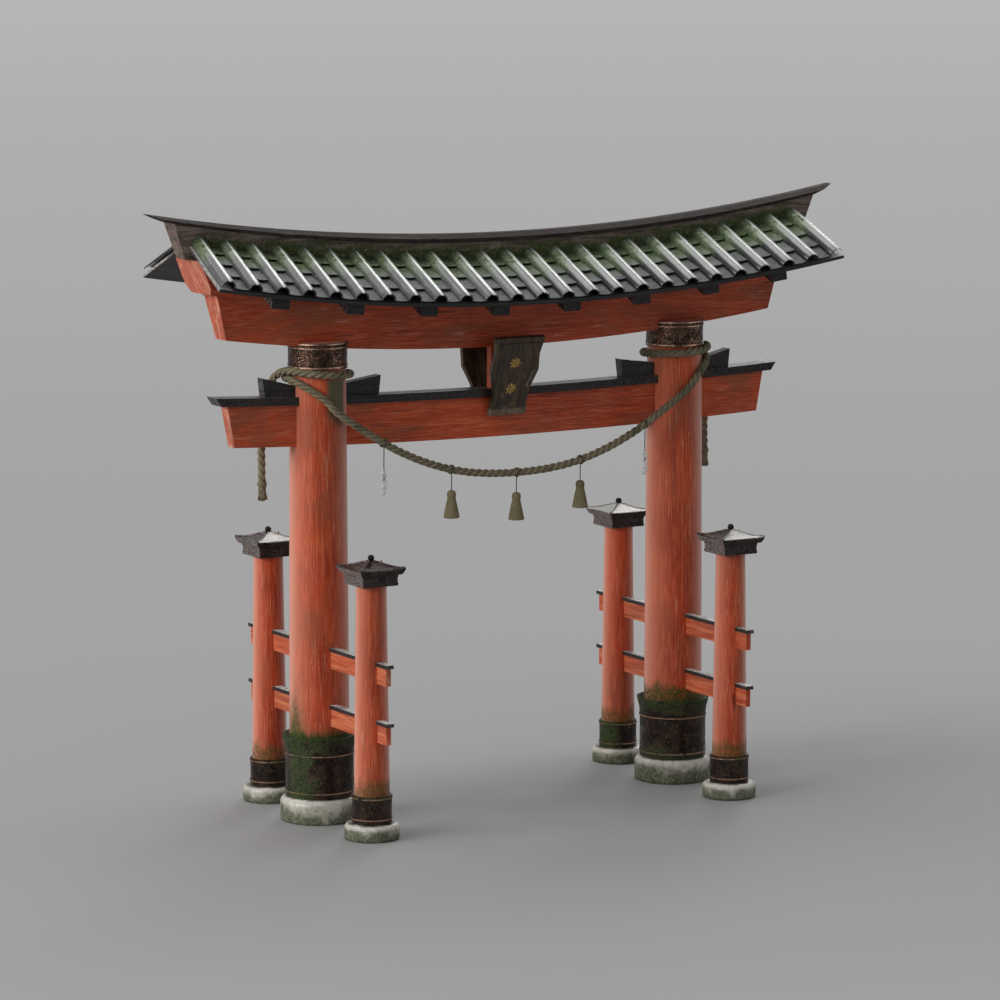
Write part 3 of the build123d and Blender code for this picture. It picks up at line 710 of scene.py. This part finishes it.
# -------- route of the rope
# The left half, in millimetres: up the tail (from the pillar's middle), round the pillar (degrees,
# distance from its middle, height), and along the swag. The right half mirrors it.
TAIL = metres(
    (-444, 196, 2825), (-448, 200, 2990), (-447, 205, 3170), (-449, 203, 3350), (-446, 208, 3510),
    (-440, 206, 3630), (-416, 202, 3745), (-376, 176, 3846), (-342, 116, 3922), (-322, 36, 3962),
)
TURNS = [
    (194, 304, 3970), (216, 301, 3962), (240, 297, 3950), (262, 294, 3940), (286, 291, 3931),
    (312, 291, 3926), (341, 292, 3919), (370, 292, 3912), (399, 292, 3908), (428, 292, 3904),
    (457, 292, 3901), (486, 292, 3899), (514, 292, 3897), (542, 293, 3894), (568, 293, 3868),
    (594, 293, 3799), (619, 294, 3714),
]
SWAG = metres(
    (-1800, -293, 3619), (-1635, -294, 3509), (-1440, -292, 3383), (-1190, -293, 3238),
    (-890, -292, 3108), (-560, -293, 3014), (-200, -292, 2973),
)
ROPE_DIAMETER = 0.068
half = [(x - PILLAR_X, y, z) for x, y, z in TAIL]
for angle, away, level in TURNS:
    turn = radians(angle)
    half.append((away / 1000 * cos(turn) - PILLAR_X, away / 1000 * sin(turn), level / 1000))
half += SWAG
ROPE_ROUTE = half + [(-x, y, z) for x, y, z in reversed(half)]


def line_points(name, route, gap):
    """Evenly spaced points along a smooth line that has the route's points as its control points."""
    data = bpy.data.curves.new(name, "CURVE")
    data.dimensions = "3D"
    data.resolution_u = 12
    line = data.splines.new("NURBS")
    line.points.add(len(route) - 1)
    for point, place in zip(line.points, route):
        point.co = (*place, 1)
    line.order_u = 3
    line.use_endpoint_u = True
    made = linked(name, data)
    mesh = bpy.data.meshes.new_from_object(made)
    raw = [v.co.copy() for v in mesh.vertices]
    bpy.data.meshes.remove(mesh)
    bpy.data.objects.remove(made)
    lengths = [0.0]
    for a, b in zip(raw, raw[1:]):
        lengths.append(lengths[-1] + (b - a).length)
    count = round(lengths[-1] / gap)
    out, at = [], 0
    for i in range(count + 1):
        want = lengths[-1] * i / count
        while at < len(raw) - 2 and lengths[at + 1] < want:
            at += 1
        share = (want - lengths[at]) / max(lengths[at + 1] - lengths[at], 1e-9)
        out.append(raw[at].lerp(raw[at + 1], share))
    return out, lengths[-1]


def frames(points):
    """Two cross directions at each point, turned as little as they can be."""
    side, out = None, []
    for i in range(len(points)):
        ahead = (points[min(i + 1, len(points) - 1)] - points[max(i - 1, 0)]).normalized()
        if side is None:
            side = ahead.orthogonal().normalized()
        side = (side - ahead * side.dot(ahead)).normalized()
        out.append((side, ahead.cross(side)))
    return out


def strands(shape, points, radius, pitch, count, segments, lay, rough=0.0):
    """Lays twisted strands along a line; lay is a strand's share of the line's radius."""
    axes = frames(points)
    gap = (points[1] - points[0]).length
    thick = radius * (lay + 0.05)
    for k in range(count):
        line = []
        for i, (p, (side, other)) in enumerate(zip(points, axes)):
            turn = 2 * pi * (k / count + i * gap / pitch)
            line.append(around(p, side, other, radius * (1 - lay), turn))
        stations = []
        for i, (p, (side, other)) in enumerate(zip(line, frames(line))):
            radii = [
                thick * (1 + rough * noise.noise(Vector((i * gap * 40, j * 1.7, k * 9.0))))
                for j in range(segments)
            ]
            stations.append((p, side, other, radii, i * gap * 10 + k * 3.3))
        shape.tube(stations, caps=True, flip=True)


# -------- materials
red_x = red_lacquer("red_lacquer_lintels", "x", 1.0)
red_tie = red_lacquer("red_lacquer_tie_beam", "x", 4.0)
red_y = red_lacquer("red_lacquer_side_beams", "y", 2.0, 0.7)
red_pillars = (
    red_lacquer("red_lacquer_left_pillar", "z", 3.0, 0.8, left_pillar_moss, rope_stain),
    red_lacquer("red_lacquer_right_pillar", "z", 5.0, 0.8, foot_moss(0.84, 4.0)),
)
red_posts = red_lacquer("red_lacquer_side_posts", "z", 6.0, 0.8, foot_moss(0.47, 7.0, 0.75))
black_x = black_lacquer("black_lacquer_x", "x", 1.0, 0.22)
black_y = black_lacquer("black_lacquer_y", "y", 2.0, 0.92)
black_roof = black_lacquer("black_lacquer_roof", "x", 3.0, 0.3)
ridge_material = ridge_wood("ridge_timber", 2.7, 0.9)
ridge_cap_material = ridge_wood("ridge_cap_timber", 0.42, 0.16)
rib_material = roof_tile(
    "smoked_cover_tile", 0.22, 0.6, 0.62, ((0.06, 0.085, 0.032), (0.19, 0.25, 0.105)), 0.8, covers=True,
)
pan_material = roof_tile(
    "smoked_pan_tile", 0.48, 0.42, 0.9, ((0.04, 0.07, 0.022), (0.12, 0.165, 0.07)), 0.95,
)
board_material = board_wood("tarred_roof_board")
# dark, middle and rubbed bright
COPPER = ((0.017, 0.009, 0.005), (0.08, 0.04, 0.021), (0.64, 0.39, 0.285))
BLACKENED = ((0.012, 0.01, 0.009), (0.05, 0.03, 0.022), (0.26, 0.155, 0.1))
collar_bands = ((3.988, 4.001), (4.16, 4.168), (4.196, 4.205))
collar_material = mottled_metal(
    "mottled_copper", COPPER, collar_bands, 1.0, 0.24, highlight_at=collar_highlight,
)
main_sleeve_material = mottled_metal(
    "blackened_copper", BLACKENED, ((0.262, 0.274), (0.594, 0.605)), 2.0, 0.22, main_sleeve_moss,
)
side_sleeve_material = mottled_metal(
    "blackened_copper_small", BLACKENED, ((0.177, 0.188), (0.359, 0.37)), 3.0, 0.24, side_sleeve_moss,
)
cap_material = cap_metal("cap_bronze")
stone_main = stone("granite_main", 0.22, 1.0)
stone_side = stone("granite_side", 0.14, 2.0)
rope_straw = straw("rope_straw", (0.33, 0.285, 0.19), (0.11, 0.092, 0.055), 1.0)
tassel_straw = straw("tassel_straw", (0.3, 0.255, 0.15), (0.125, 0.1, 0.055), 5.0, 2, 30)
cord_straw = straw("cord_straw", (0.15, 0.125, 0.085), (0.055, 0.045, 0.03), 9.0, 3, 20)
paper_material = paper("folded_paper")
iron = plain_metal("forged_iron", (0.018, 0.017, 0.016), (0.055, 0.035, 0.025), 0.6, 0.5, 30)
gilt = plain_metal("worn_gilt", (0.55, 0.38, 0.12), (0.24, 0.16, 0.06), 0.85, 0.4, 60)
plaque_material = plaque_wood("plaque_timber", 3.515)

# -------- CAD nodes kept as they are
for (s, side), red_pillar in zip(SIDES, red_pillars):
    paint(red_pillar, 0, f"main_pillar_{side}")
    paint(collar_material, 0.002, f"collar_{side}")
    paint(main_sleeve_material, 0.003, f"main_sleeve_{side}")
    paint(red_y, 0.004, f"lower_side_beam_{side}", f"upper_side_beam_{side}")
    paint(black_y, 0.004, f"side_beam_covers_{side}")
    for d, depth in DEPTHS:
        paint(red_posts, 0, f"side_post_{depth}_{side}")
        paint(side_sleeve_material, 0.003, f"side_sleeve_{depth}_{side}")
paint(red_x, 0.01, "lower_lintel", "upper_lintel")
paint(red_tie, 0.008, "tie_beam", "strut")
paint(black_x, 0.007, "tie_beam_covers", "wedges")
paint(black_roof, 0.004, "eave_blocks_front", "eave_blocks_back")
paint(ridge_material, 0.008, "ridge_board")
paint(iron, 0.002, "plaque_hooks")


# -------- stones
def base_stone(name, x, y, radius, height, edge, material, seed):
    """A round stone with a rounded upper edge, and a side that is a little uneven."""
    def chip(angle, r, level):
        at = Vector((r * cos(angle) * 9, r * sin(angle) * 9, level * 14 + seed))
        return -0.014 * (0.5 + 0.5 * noise.noise(at * 0.45)) - 0.12 * 0.014 * abs(noise.noise(at * 1.9))

    shape = Shape()
    inner = radius - edge
    profile = [(radius * 0.5, 0.0), (radius * 0.965, 0.0), (radius * 0.985, 0.012)]
    profile += [(radius, height * k / 8) for k in range(1, 6)]
    for k in range(7):
        turn = pi / 2 * k / 6
        profile.append((inner + edge * cos(turn), height - edge + edge * sin(turn)))
    profile += [(inner * share, height) for share in (0.93, 0.85, 0.6)]
    shape.lathe(profile, x, y, 96, chip)
    piece(name, shape, material, [name])


for s, side in SIDES:
    base_stone(f"main_base_{side}", s * PILLAR_X, 0, 0.35, 0.2195, 0.065, stone_main, 3.0 + s)
    for d, depth in DEPTHS:
        base_stone(
            f"side_base_{depth}_{side}", s * PILLAR_X, d * POST_Y, 0.24, 0.1395, 0.045,
            stone_side, 9.0 + 2 * s + d,
        )

# -------- tiled slopes
PITCH = 0.47  # rise of the roof for each metre in
SLOPE = atan(PITCH)
RUN, LIFT = cos(SLOPE), sin(SLOPE)
EAVE_Y, EAVE_Z = 0.756, 4.545
RIBS = 25
RIB_GAP = 0.2545
RIB_OUT, RIB_IN = 0.069, 0.0585  # radii of a cover tile
RIB_STEPS = 20  # faces round a cover tile
COURSES, COURSE = 4, 0.195
PAN_HALF, PAN_SAG = 0.079, 0.01


def arched(x, y, level):
    """A point of the roof, from its place along the eave and its height at the gate's middle."""
    radius = HEAD_AXIS - level
    run = x * radius / (HEAD_AXIS - EAVE_Z)
    return (run, y, HEAD_AXIS - sqrt(radius * radius - run * run))


def on_slope(face, x, up, lift):
    """A point of a slope: up metres above the eave, lift metres proud of the pan tiles."""
    reach = EAVE_Y - up * RUN + lift * LIFT
    return arched(x, face * reach, EAVE_Z + up * LIFT + lift * RUN)


def cover_tiles(face, depth, dice):
    shape = Shape()
    ring = 2 * (RIB_STEPS + 1)
    for number in range(RIBS):
        x = RIB_GAP * (number - RIBS // 2) + dice.uniform(-0.002, 0.002)
        # the cover at the end of the row stops short of the board on its outer side
        first, last = 0.0, pi
        if number == RIBS - 1 and face < 0:
            last = radians(148)
        if number == 0 and face > 0:
            first = radians(32)
        eave = dice.uniform(-0.001, 0.004)
        rows, uv_rows = [], []
        for i, up in enumerate([eave, eave + 0.003] + [0.086 * i for i in range(1, 10)]):
            uneven = 1 + 0.01 * noise.noise(Vector((number * 3.3, up * 9, face)))
            swell = (0.98 if i == 0 else 1) * uneven
            outer, inner, sides = [], [], []
            for k in range(RIB_STEPS + 1):
                turn = first + (last - first) * k / RIB_STEPS
                for row, radius in ((outer, RIB_OUT * swell), (inner, RIB_IN)):
                    row.append(on_slope(
                        face, x - radius * cos(turn), up, 0.003 + radius * sin(turn),
                    ))
                sides.append((turn / pi, up))
            rows.append(outer + inner[::-1])
            uv_rows.append(sides + sides[::-1])
        base = len(shape.points)
        shape.grid(rows, closed=True, flip=face > 0, uv_rows=uv_rows)
        # the ring that closes the open end at the eave
        for k in range(RIB_STEPS):
            quad = (base + k, base + k + 1, base + ring - 2 - k, base + ring - 1 - k)
            shape.faces.append(quad if face > 0 else quad[::-1])
    piece(f"cover_tiles_{depth}", shape, rib_material, [f"roof_slope_{depth}"], split=50)


def pan_tiles(face, depth, dice):
    """Courses of thin pans, each lapping over the next one down."""
    shape = Shape()
    for number in range(RIBS - 1):
        middle = RIB_GAP * (number + 1 - RIBS / 2)
        for course in range(COURSES):
            low = course * COURSE + dice.uniform(-0.004, 0.004)
            high = min((course + 1) * COURSE + 0.01, 0.765)
            edge = 0.0265 + dice.uniform(-0.0015, 0.002)
            if course == 0:
                low, edge = dice.uniform(0.0, 0.004), 0.012
            skew = dice.uniform(-0.0015, 0.0015)
            rows = []
            for up, lift in (
                (low + 0.06, edge - 0.02), (low + 0.002, edge - 0.0085), (low - 0.001, edge - 0.007),
                (low - 0.001, edge - 0.002), (low + 0.002, edge), (low + 0.012, edge),
                ((low + high) / 2, 0.5 * edge + 0.003), (high, 0.004),
            ):
                row = []
                for k in range(11):
                    across = -1 + k / 5
                    uneven = 0.0012 * noise.noise(Vector((middle * 7 + across, up * 20, face * 5)))
                    sag = -PAN_SAG * (1 - across * across)
                    proud = lift + sag + skew * across + uneven
                    row.append(on_slope(face, middle + PAN_HALF * across, up, proud))
                rows.append(row)
            shape.grid(rows, flip=face > 0)
    piece(f"pan_tiles_{depth}", shape, pan_material, [f"roof_slope_{depth}"], split=38)


def boards(face, depth):
    """A thin sloping board over a thicker one that stops short of the eave and the ends."""
    shape = Shape()
    length = 3.135 if face < 0 else 3.112
    for half, eave, low, high in ((length, 0.757, 4.499, 4.527), (2.65, 0.705, 4.472, 4.4985)):
        profile = [(y, level + PITCH * (0.76 - y)) for y, level in (
            (eave, low), (0.092, low), (0.092, high), (eave, high),
        )]
        shape.solid(
            [[arched(half * (i / 24 - 1), face * y, level) for y, level in profile] for i in range(49)],
            flip=face > 0,
        )
    nodes = [f"roof_board_{depth}"]
    soften(piece(f"roof_boards_{depth}", shape, board_material, nodes, smooth=False), 0.003)


for face, depth in DEPTHS:
    dice = random.Random(11 + face)
    cover_tiles(face, depth, dice)
    pan_tiles(face, depth, dice)
for face, depth in DEPTHS:
    boards(face, depth)


def ridge_cap():
    """The cap along the ridge; its ends lean out to thin tips."""
    shape = Shape()
    half, slant, underside = 3.24, 2.68, 5.008
    profile = metres((-123, 0), (123, 0), (123, 32), (45, 69), (-45, 69), (-123, 32))

    def risen(x, thick, share):
        """The height at x of a line thick metres over the underside; the cap thins to its tips."""
        radius = HEAD_AXIS - underside - thick * (1 - 0.38 * share * share)
        return HEAD_AXIS - sqrt(radius * radius - x * x)

    foot = risen(half, 0.0, 1)
    tips = []
    for y, thick in profile:
        tip = half
        for _ in range(30):
            tip = half + slant * (risen(tip, thick, 1) - foot)
        tips.append(tip)
    rows = []
    for share in (i / 36 - 1 for i in range(73)):
        rows.append([
            (share * tip, y, risen(share * tip, thick, share)) for tip, (y, thick) in zip(tips, profile)
        ])
    shape.solid(rows)
    made = piece("ridge_cap_timber", shape, ridge_cap_material, ["ridge_cap"], smooth=False)
    soften(made, 0.003)


ridge_cap()

# -------- caps on the side posts
# half width, height, how much the corners rise and, in thousandths, how much they flare
CAP_RINGS = metres(
    (120, 2208.5, 0, 0), (165.5, 2208.5, 0, 0), (171, 2214, 0, 0), (171, 2236, 0, 0),
    (167.5, 2238.5, 0, 0), (167.5, 2284, 0, 0), (172, 2287, 0, 0), (172, 2303, 0, 0),
    (188, 2305, 0, 0), (197, 2309, 2, 10), (209, 2330, 7, 20),
    (214.5, 2344, 12, 25), (214.5, 2350, 13, 25), (208, 2355, 12, 20),
    (190, 2359, 7, 10), (150, 2368, 2, 0), (110, 2380.5, 1, 0),
    (70, 2395.5, 1, 0), (40, 2407.5, 0, 0), (24, 2414, 0, 0), (16, 2416, 0, 0),
)
# reach and height of the rolls on the hips
CAP_HIP = metres(
    (18, 2416.5), (40, 2409.5), (70, 2398.5), (110, 2383.5), (150, 2373),
    (185, 2369), (208, 2370), (217, 2371),
)
HIP_RADIUS = 0.0085
UPWARD = Vector((0, 0, 1))


def square_ring(x, y, half_width, level, lift, flare):
    ring = []
    for side in range(4):
        for k in range(8):
            share = -1 + k / 4
            u = half_width * (1 + flare * abs(share) ** 4)
            w = u * share
            px, py = ((u, w), (-w, u), (-u, -w), (w, -u))[side]
            ring.append((x + px, y + py, level + lift * abs(share) ** 3))
    return ring


def post_cap(name, x, y):
    """A stepped square cap with a low roof, rolls on its hips and a round knob."""
    shape = Shape()
    shape.solid([square_ring(x, y, *ring) for ring in CAP_RINGS])
    for sx in (-1, 1):
        for sy in (-1, 1):
            side = Vector((-sy, sx, 0)).normalized() * (sx * sy)
            rows = []
            for reach, level in CAP_HIP:
                middle = Vector((x + sx * reach, y + sy * reach, level - 0.003))
                turns = (pi * k / 6 for k in range(7))
                rows.append([tuple(around(middle, side, UPWARD, HIP_RADIUS, turn)) for turn in turns])
            shape.grid(rows, caps=(False, True), flip=sx * sy > 0)
    ball = [(0.02, 2.411), (0.027, 2.414), (0.027, 2.417), (0.017, 2.4195)]
    for k in range(1, 9):
        turn = pi * k / 9
        ball.append((0.0285 * sin(turn) if k > 1 else 0.018, 2.4385 - 0.0275 * cos(turn)))
    shape.lathe(ball, x, y, 24)
    piece(name, shape, cap_material, [name], split=32)


for s, side in SIDES:
    for d, depth in DEPTHS:
        post_cap(f"post_cap_{depth}_{side}", s * PILLAR_X, d * POST_Y)

# -------- plaques
# a plaque's half width at heights up its face, from the foot
OUTLINE = metres((0, 186), (150, 176), (270, 186), (430, 240), (590, 222), (752, 250))
# the plain heights between, and those at the edges of the foot and head rails
PLAQUE_ROWS = metres(
    (0, 4, 70, 78, 90, 150, 210, 270, 350, 430, 510, 590, 640, 686, 697, 706, 748, 752),
)[0]
LEAN = radians(19.5)
# reach, half width and rise along a petal, and reach and rise of the hub
PETAL = metres((12, 4, 3), (22, 8.5, 6), (34, 11.5, 7.5), (45, 10.5, 6), (52, 5.5, 3), (54.5, 1, 0.5))
HUB = metres((12.5, 0), (12.5, 5), (10, 8.5), (6, 10.5), (1, 11))


def plaque_point(face, u, v, w):
    """A point u along, v up and w proud of a plaque's back."""
    return (
        u,
        face * (0.084 + v * sin(LEAN) + w * cos(LEAN)),
        3.48 + v * cos(LEAN) - w * sin(LEAN),
    )


def plaque_half(v):
    for (v0, h0), (v1, h1) in zip(OUTLINE, OUTLINE[1:]):
        if v <= v1:
            return h0 + (h1 - h0) * (v - v0) / (v1 - v0)


def plaque(face, depth):
    """A leaning board with a raised rim."""
    shape = Shape()
    rows = []
    for v in PLAQUE_ROWS:
        h = plaque_half(v)
        end = v in (0, 0.752)
        if end:
            near, side_top, top, field = h - 0.004, 0.045, 0.046, 0.046
        else:
            near, side_top, top = h, 0.046, 0.0515
            field = 0.05 if v <= 0.07 or v >= 0.706 else 0.043 if v in (0.078, 0.697) else 0.032
        right = [
            (near, 0.001), (near, side_top), (h - 0.007, top), (h - 0.036, top),
            (h - 0.043, min(top, max(field, 0.042))), (h - 0.049, field), (h * 0.45, field),
        ]
        row = [(-u, w) for u, w in right] + right[::-1]
        rows.append([plaque_point(face, u, v, w) for u, w in row])
    shape.solid(rows, flip=face < 0)
    name = f"plaque_{depth}"
    soften(piece(name, shape, plaque_material, [name], smooth=False), 0.0015, 30)


def rosettes(face, depth):
    """Plain gilt flowers where a plaque may carry gilding."""
    shape = Shape()
    field = 0.0315
    for centre in (0.25, 0.5):
        for turn in circle(8):
            rows = []
            for reach, wide, rise in PETAL:
                row = []
                for j in range(7):
                    across = -1 + j / 3
                    u = reach * cos(turn) - wide * across * sin(turn)
                    v = reach * sin(turn) + wide * across * cos(turn)
                    crest = rise * (1 - across * across) ** 0.5 * (0.82 if j == 3 else 1)
                    row.append(plaque_point(face, u, centre + v, field + crest))
                rows.append(row)
            shape.grid(rows, flip=face > 0)
        rows = []
        for reach, rise in HUB:
            rows.append([
                plaque_point(face, reach * cos(turn), centre + reach * sin(turn), field + rise)
                for turn in circle(20)
            ])
        shape.grid(rows, closed=True, caps=(False, True), flip=face > 0)
    piece(f"gilt_rosettes_{depth}", shape, gilt, [f"plaque_{depth}"])


for face, depth in DEPTHS:
    plaque(face, depth)
    rosettes(face, depth)


# -------- the rope
def ring_turns(shape, centre, axis, radius, thick, turns, gap, tilt):
    """Turns of thin cord wound round something."""
    axis = axis.normalized()
    side = axis.orthogonal().normalized()
    other = axis.cross(side)
    for turn in range(turns):
        middle = centre + axis * (gap * (turn - (turns - 1) / 2))
        stations = []
        for angle in circle(40) + [2 * pi]:
            out = side * cos(angle) + other * sin(angle)
            at = middle + out * radius + axis * (tilt * sin(angle + turn))
            stations.append((at, out, axis, [thick] * 8, angle * radius * 10 + turn))
        shape.tube(stations, caps=False, flip=True)


def frayed_end(name, points, seed):
    """The whipping and the loose broom of straw at an end of the rope."""
    dice = random.Random(seed)
    shape = Shape()
    end = points[0]
    up = (points[9] - points[0]).normalized()
    ring_turns(shape, end + up * 0.14, up, 0.034, 0.0085, 3, 0.013, 0.002)
    side = up.orthogonal().normalized()
    other = up.cross(side)
    for k in range(90):
        angle = dice.uniform(0, 2 * pi)
        spread = dice.uniform(0.25, 1.0) ** 0.5
        lean = dice.uniform(-0.35, 0.35)
        drop = dice.uniform(0.0, 0.01)
        stations = []
        for t in (i / 5 for i in range(6)):
            flare = (0.028 + 0.014 * t ** 1.6) * spread
            turn = angle - 0.9 * t + lean * t * t * 0.4
            centre = around(end + up * (0.128 * (1 - t) + drop * t), side, other, flare, turn)
            stations.append((centre, side, other, [0.0048 * (1 - 0.25 * t)] * 5, t + k * 1.7))
        shape.tube(stations, caps=True)
    return piece(name, shape, rope_straw, ["rope"])


rope_points, rope_length = line_points("rope_line", ROPE_ROUTE, 0.014)
shape = Shape()
strands(shape, rope_points, ROPE_DIAMETER / 2, -0.205, 3, 10, 0.47, rough=0.1)
rope = piece("rope_strands", shape, rope_straw, ["rope"])
ends = [
    frayed_end("rope_end_left", rope_points, 5),
    frayed_end("rope_end_right", rope_points[::-1], 8),
]

# -------- tassels and streamers
HUNG_Y = -0.2925
TASSEL_LOBES = 22
# radius and drop below the tassel's top
TASSEL = metres(
    (6, 0), (18, 2), (29, 8), (36.5, 18), (39.5, 32), (40, 46),
    (37.5, 58), (34.5, 66), (34.5, 73), (38.5, 83), (42.5, 98), (47, 118),
    (52, 142), (57, 168), (62.5, 196), (67, 220), (69.5, 236), (68.5, 243),
    (62, 245.5), (40, 241), (10, 240),
)
# each fold's left and right edge at its top and at its foot, its start and end down the strip,
# and how far its top and its foot stand forward
FOLDS = metres(
    (-7, 7, -34, 16, 0, 70, 0, -6),
    (-12, 26, -30, 14, 60, 126, -8, 4),
    (-8, 30, -30, 14, 116, 184, 2, -7),
    (-6, 31, -33, 10, 174, 245, -8, 4),
)
# the y of every cord's points in turn; each cord has its own x and z
CORD_Y = (-0.293, -0.293, -0.292, -0.293)
TASSEL_CORDS = (
    ("left", 4, (-0.653, -0.654, -0.655, -0.655), (3.0048, 2.9122, 2.8329, 2.7403)),
    ("middle", 6, (0.002, 0.001, 0.0, 0.0), (2.9387, 2.8472, 2.7688, 2.6773)),
    ("right", 5, (0.657, 0.656, 0.655, 0.655), (3.0058, 2.9129, 2.8332, 2.7403)),
)
STREAMER_CORDS = (
    ("left", (-1.326, -1.327, -1.328, -1.328), (3.2743, 3.1741, 3.0882, 2.988)),
    ("right", (1.33, 1.329, 1.328, 1.328), (3.2767, 3.1756, 3.089, 2.988)),
)


def rope_at(x):
    """Where the swag passes x, and its direction there."""
    swag = [(p, q) for p, q in zip(rope_points, rope_points[1:]) if p.y < -0.28 and abs(p.x) < 1.79]
    p, q = min(swag, key=lambda pair: abs((pair[0].x + pair[1].x) / 2 - x))
    return (p + q) / 2, (q - p).normalized()


def thin_cord(name, route, with_what):
    """A thin cord hung from the rope, with the turn that ties it on."""
    points, length = line_points(name + "_line", route, 0.004)
    shape = Shape()
    strands(shape, points, 0.005, -0.028, 2, 7, 0.5)
    made = piece(name, shape, cord_straw, [name])
    tie_shape = Shape()
    ring_turns(tie_shape, *rope_at(route[0][0]), 0.0385, 0.0045, 2, 0.0105, 0.003)
    tie = piece(name + "_tie", tie_shape, cord_straw, [name])


def tassel(name, x, top, seed):
    """A bound bell of straw in twisted lobes."""
    dice = random.Random(seed)
    shape = Shape()
    rows, uv_rows = [], []
    for radius, drop in TASSEL:
        row, uv_row = [], []
        for angle in circle(5 * TASSEL_LOBES):
            lane = angle - 10.5 * drop
            wide = radius * (0.955 + 0.062 * abs(sin(TASSEL_LOBES / 2 * lane)))
            if drop > 0.236:
                wide *= 1 - 0.02 * dice.random()
            row.append((x + wide * cos(angle), HUNG_Y + wide * sin(angle), top - drop))
            uv_row.append((drop * 14, lane * TASSEL_LOBES / (2 * pi)))
        rows.append(row)
        uv_rows.append(uv_row)
    shape.solid(rows, uv_rows, flip=True)
    waist = Vector((x, HUNG_Y, top - 0.0695))
    ring_turns(shape, waist, UPWARD, 0.0345, 0.0042, 2, 0.0075, 0.001)
    return piece(name, shape, tassel_straw, ["tassels"])


def streamer(name, x, top):
    """A strip of white paper cut and folded into leaning steps."""
    shape = Shape()
    y = HUNG_Y - 0.001
    for l0, r0, l1, r1, v0, v1, d0, d1 in FOLDS:
        rows = []
        for t in (i / 6 for i in range(7)):
            left, right = l0 + (l1 - l0) * t, r0 + (r1 - r0) * t
            depth = d0 + (d1 - d0) * t + 0.002 * sin(pi * t)
            front, back = (
                [
                    (
                        x + left + (right - left) * k / 4,
                        y + depth + thick + 0.0015 * sin(k * 1.3 + t * 2),
                        top - v0 - (v1 - v0) * t,
                    )
                    for k in range(5)
                ]
                for thick in (-0.0007, 0.0007)
            )
            rows.append(front + back[::-1])
        shape.solid(rows, flip=True)
    return piece(name, shape, paper_material, ["streamers"])


hung = []
for side, seed, xs, zs in TASSEL_CORDS:
    made = tassel(f"tassel_{side}", xs[-1], zs[-1] + 0.1197, seed)
    hung.append((f"tassel_cord_{side}", list(zip(xs, CORD_Y, zs)), made))
for side, xs, zs in STREAMER_CORDS:
    made = streamer(f"streamer_{side}", xs[-1], 3.108)
    hung.append((f"streamer_cord_{side}", list(zip(xs, CORD_Y, zs)), made))
for each in hung:
    thin_cord(*each)

# -------- floor, backdrop and light
studio = Shade("studio_floor", 0.9, specular=0.05)
distance = studio.math("SQRT", studio.x * studio.x + studio.y * studio.y)
studio.colour = (0.277, 0.277, 0.277)
studio.done()
# far from the gate the floor turns into an evenly lit backdrop
tone = distance.step(8, 60, 0.368, 0.41) + distance.step(30, 180, 0.0, 0.055)
grey = studio.node("ShaderNodeCombineColor", (tone, tone, tone))[0]
backdrop = studio.node("ShaderNodeEmission", (grey, 1.0))[0]
# camera, glossy and transmission rays see the backdrop
rays = studio.node("ShaderNodeLightPath")
seen = rays[0].max(rays[3].max(rays[6]))
floor_look = Value(studio, studio.shader.outputs[0])
lit = studio.node("ShaderNodeMixShader", (seen * distance.step(4, 11), floor_look, backdrop))[0]
studio.put(studio.tree.nodes["Material Output"].inputs["Surface"], lit)
floor_mesh = bpy.data.meshes.new("floor")
corners = [(-400, -400, 0), (400, -400, 0), (400, 400, 0), (-400, 400, 0)]
floor_mesh.from_pydata(corners, [], [(0, 1, 2, 3)])
floor_mesh.materials.append(studio.material)
linked("floor", floor_mesh)

world = bpy.data.worlds.new("studio")
bpy.context.scene.world = world
world.use_nodes = True
sky = world.node_tree.nodes["Background"].inputs
sky["Color"].default_value = (0.98, 0.99, 1.0, 1)
sky["Strength"].default_value = 0.42


def softbox(name, place, target, width, height, radiance, colour=(1, 1, 1)):
    data = bpy.data.lights.new(name, "AREA")
    data.shape = "RECTANGLE"
    data.size, data.size_y = width, height
    data.energy = radiance * pi * width * height
    data.color = colour
    made = linked(name, data)
    made.visible_camera = False
    made.location = place
    made.rotation_euler = (Vector(target) - Vector(place)).to_track_quat("-Z", "Y").to_euler()


softbox("top", (0, 10.0, 42), (0, 0, 2), 44, 38, 2.35)
softbox("left", (-40, -1.0, 17), (0, 0, 2.4), 30, 14, 8.6, (1.0, 0.98, 0.95))
softbox("rim", (19.3, 20.3, 20), (0, 0, 3.0), 8, 20, 4.4)
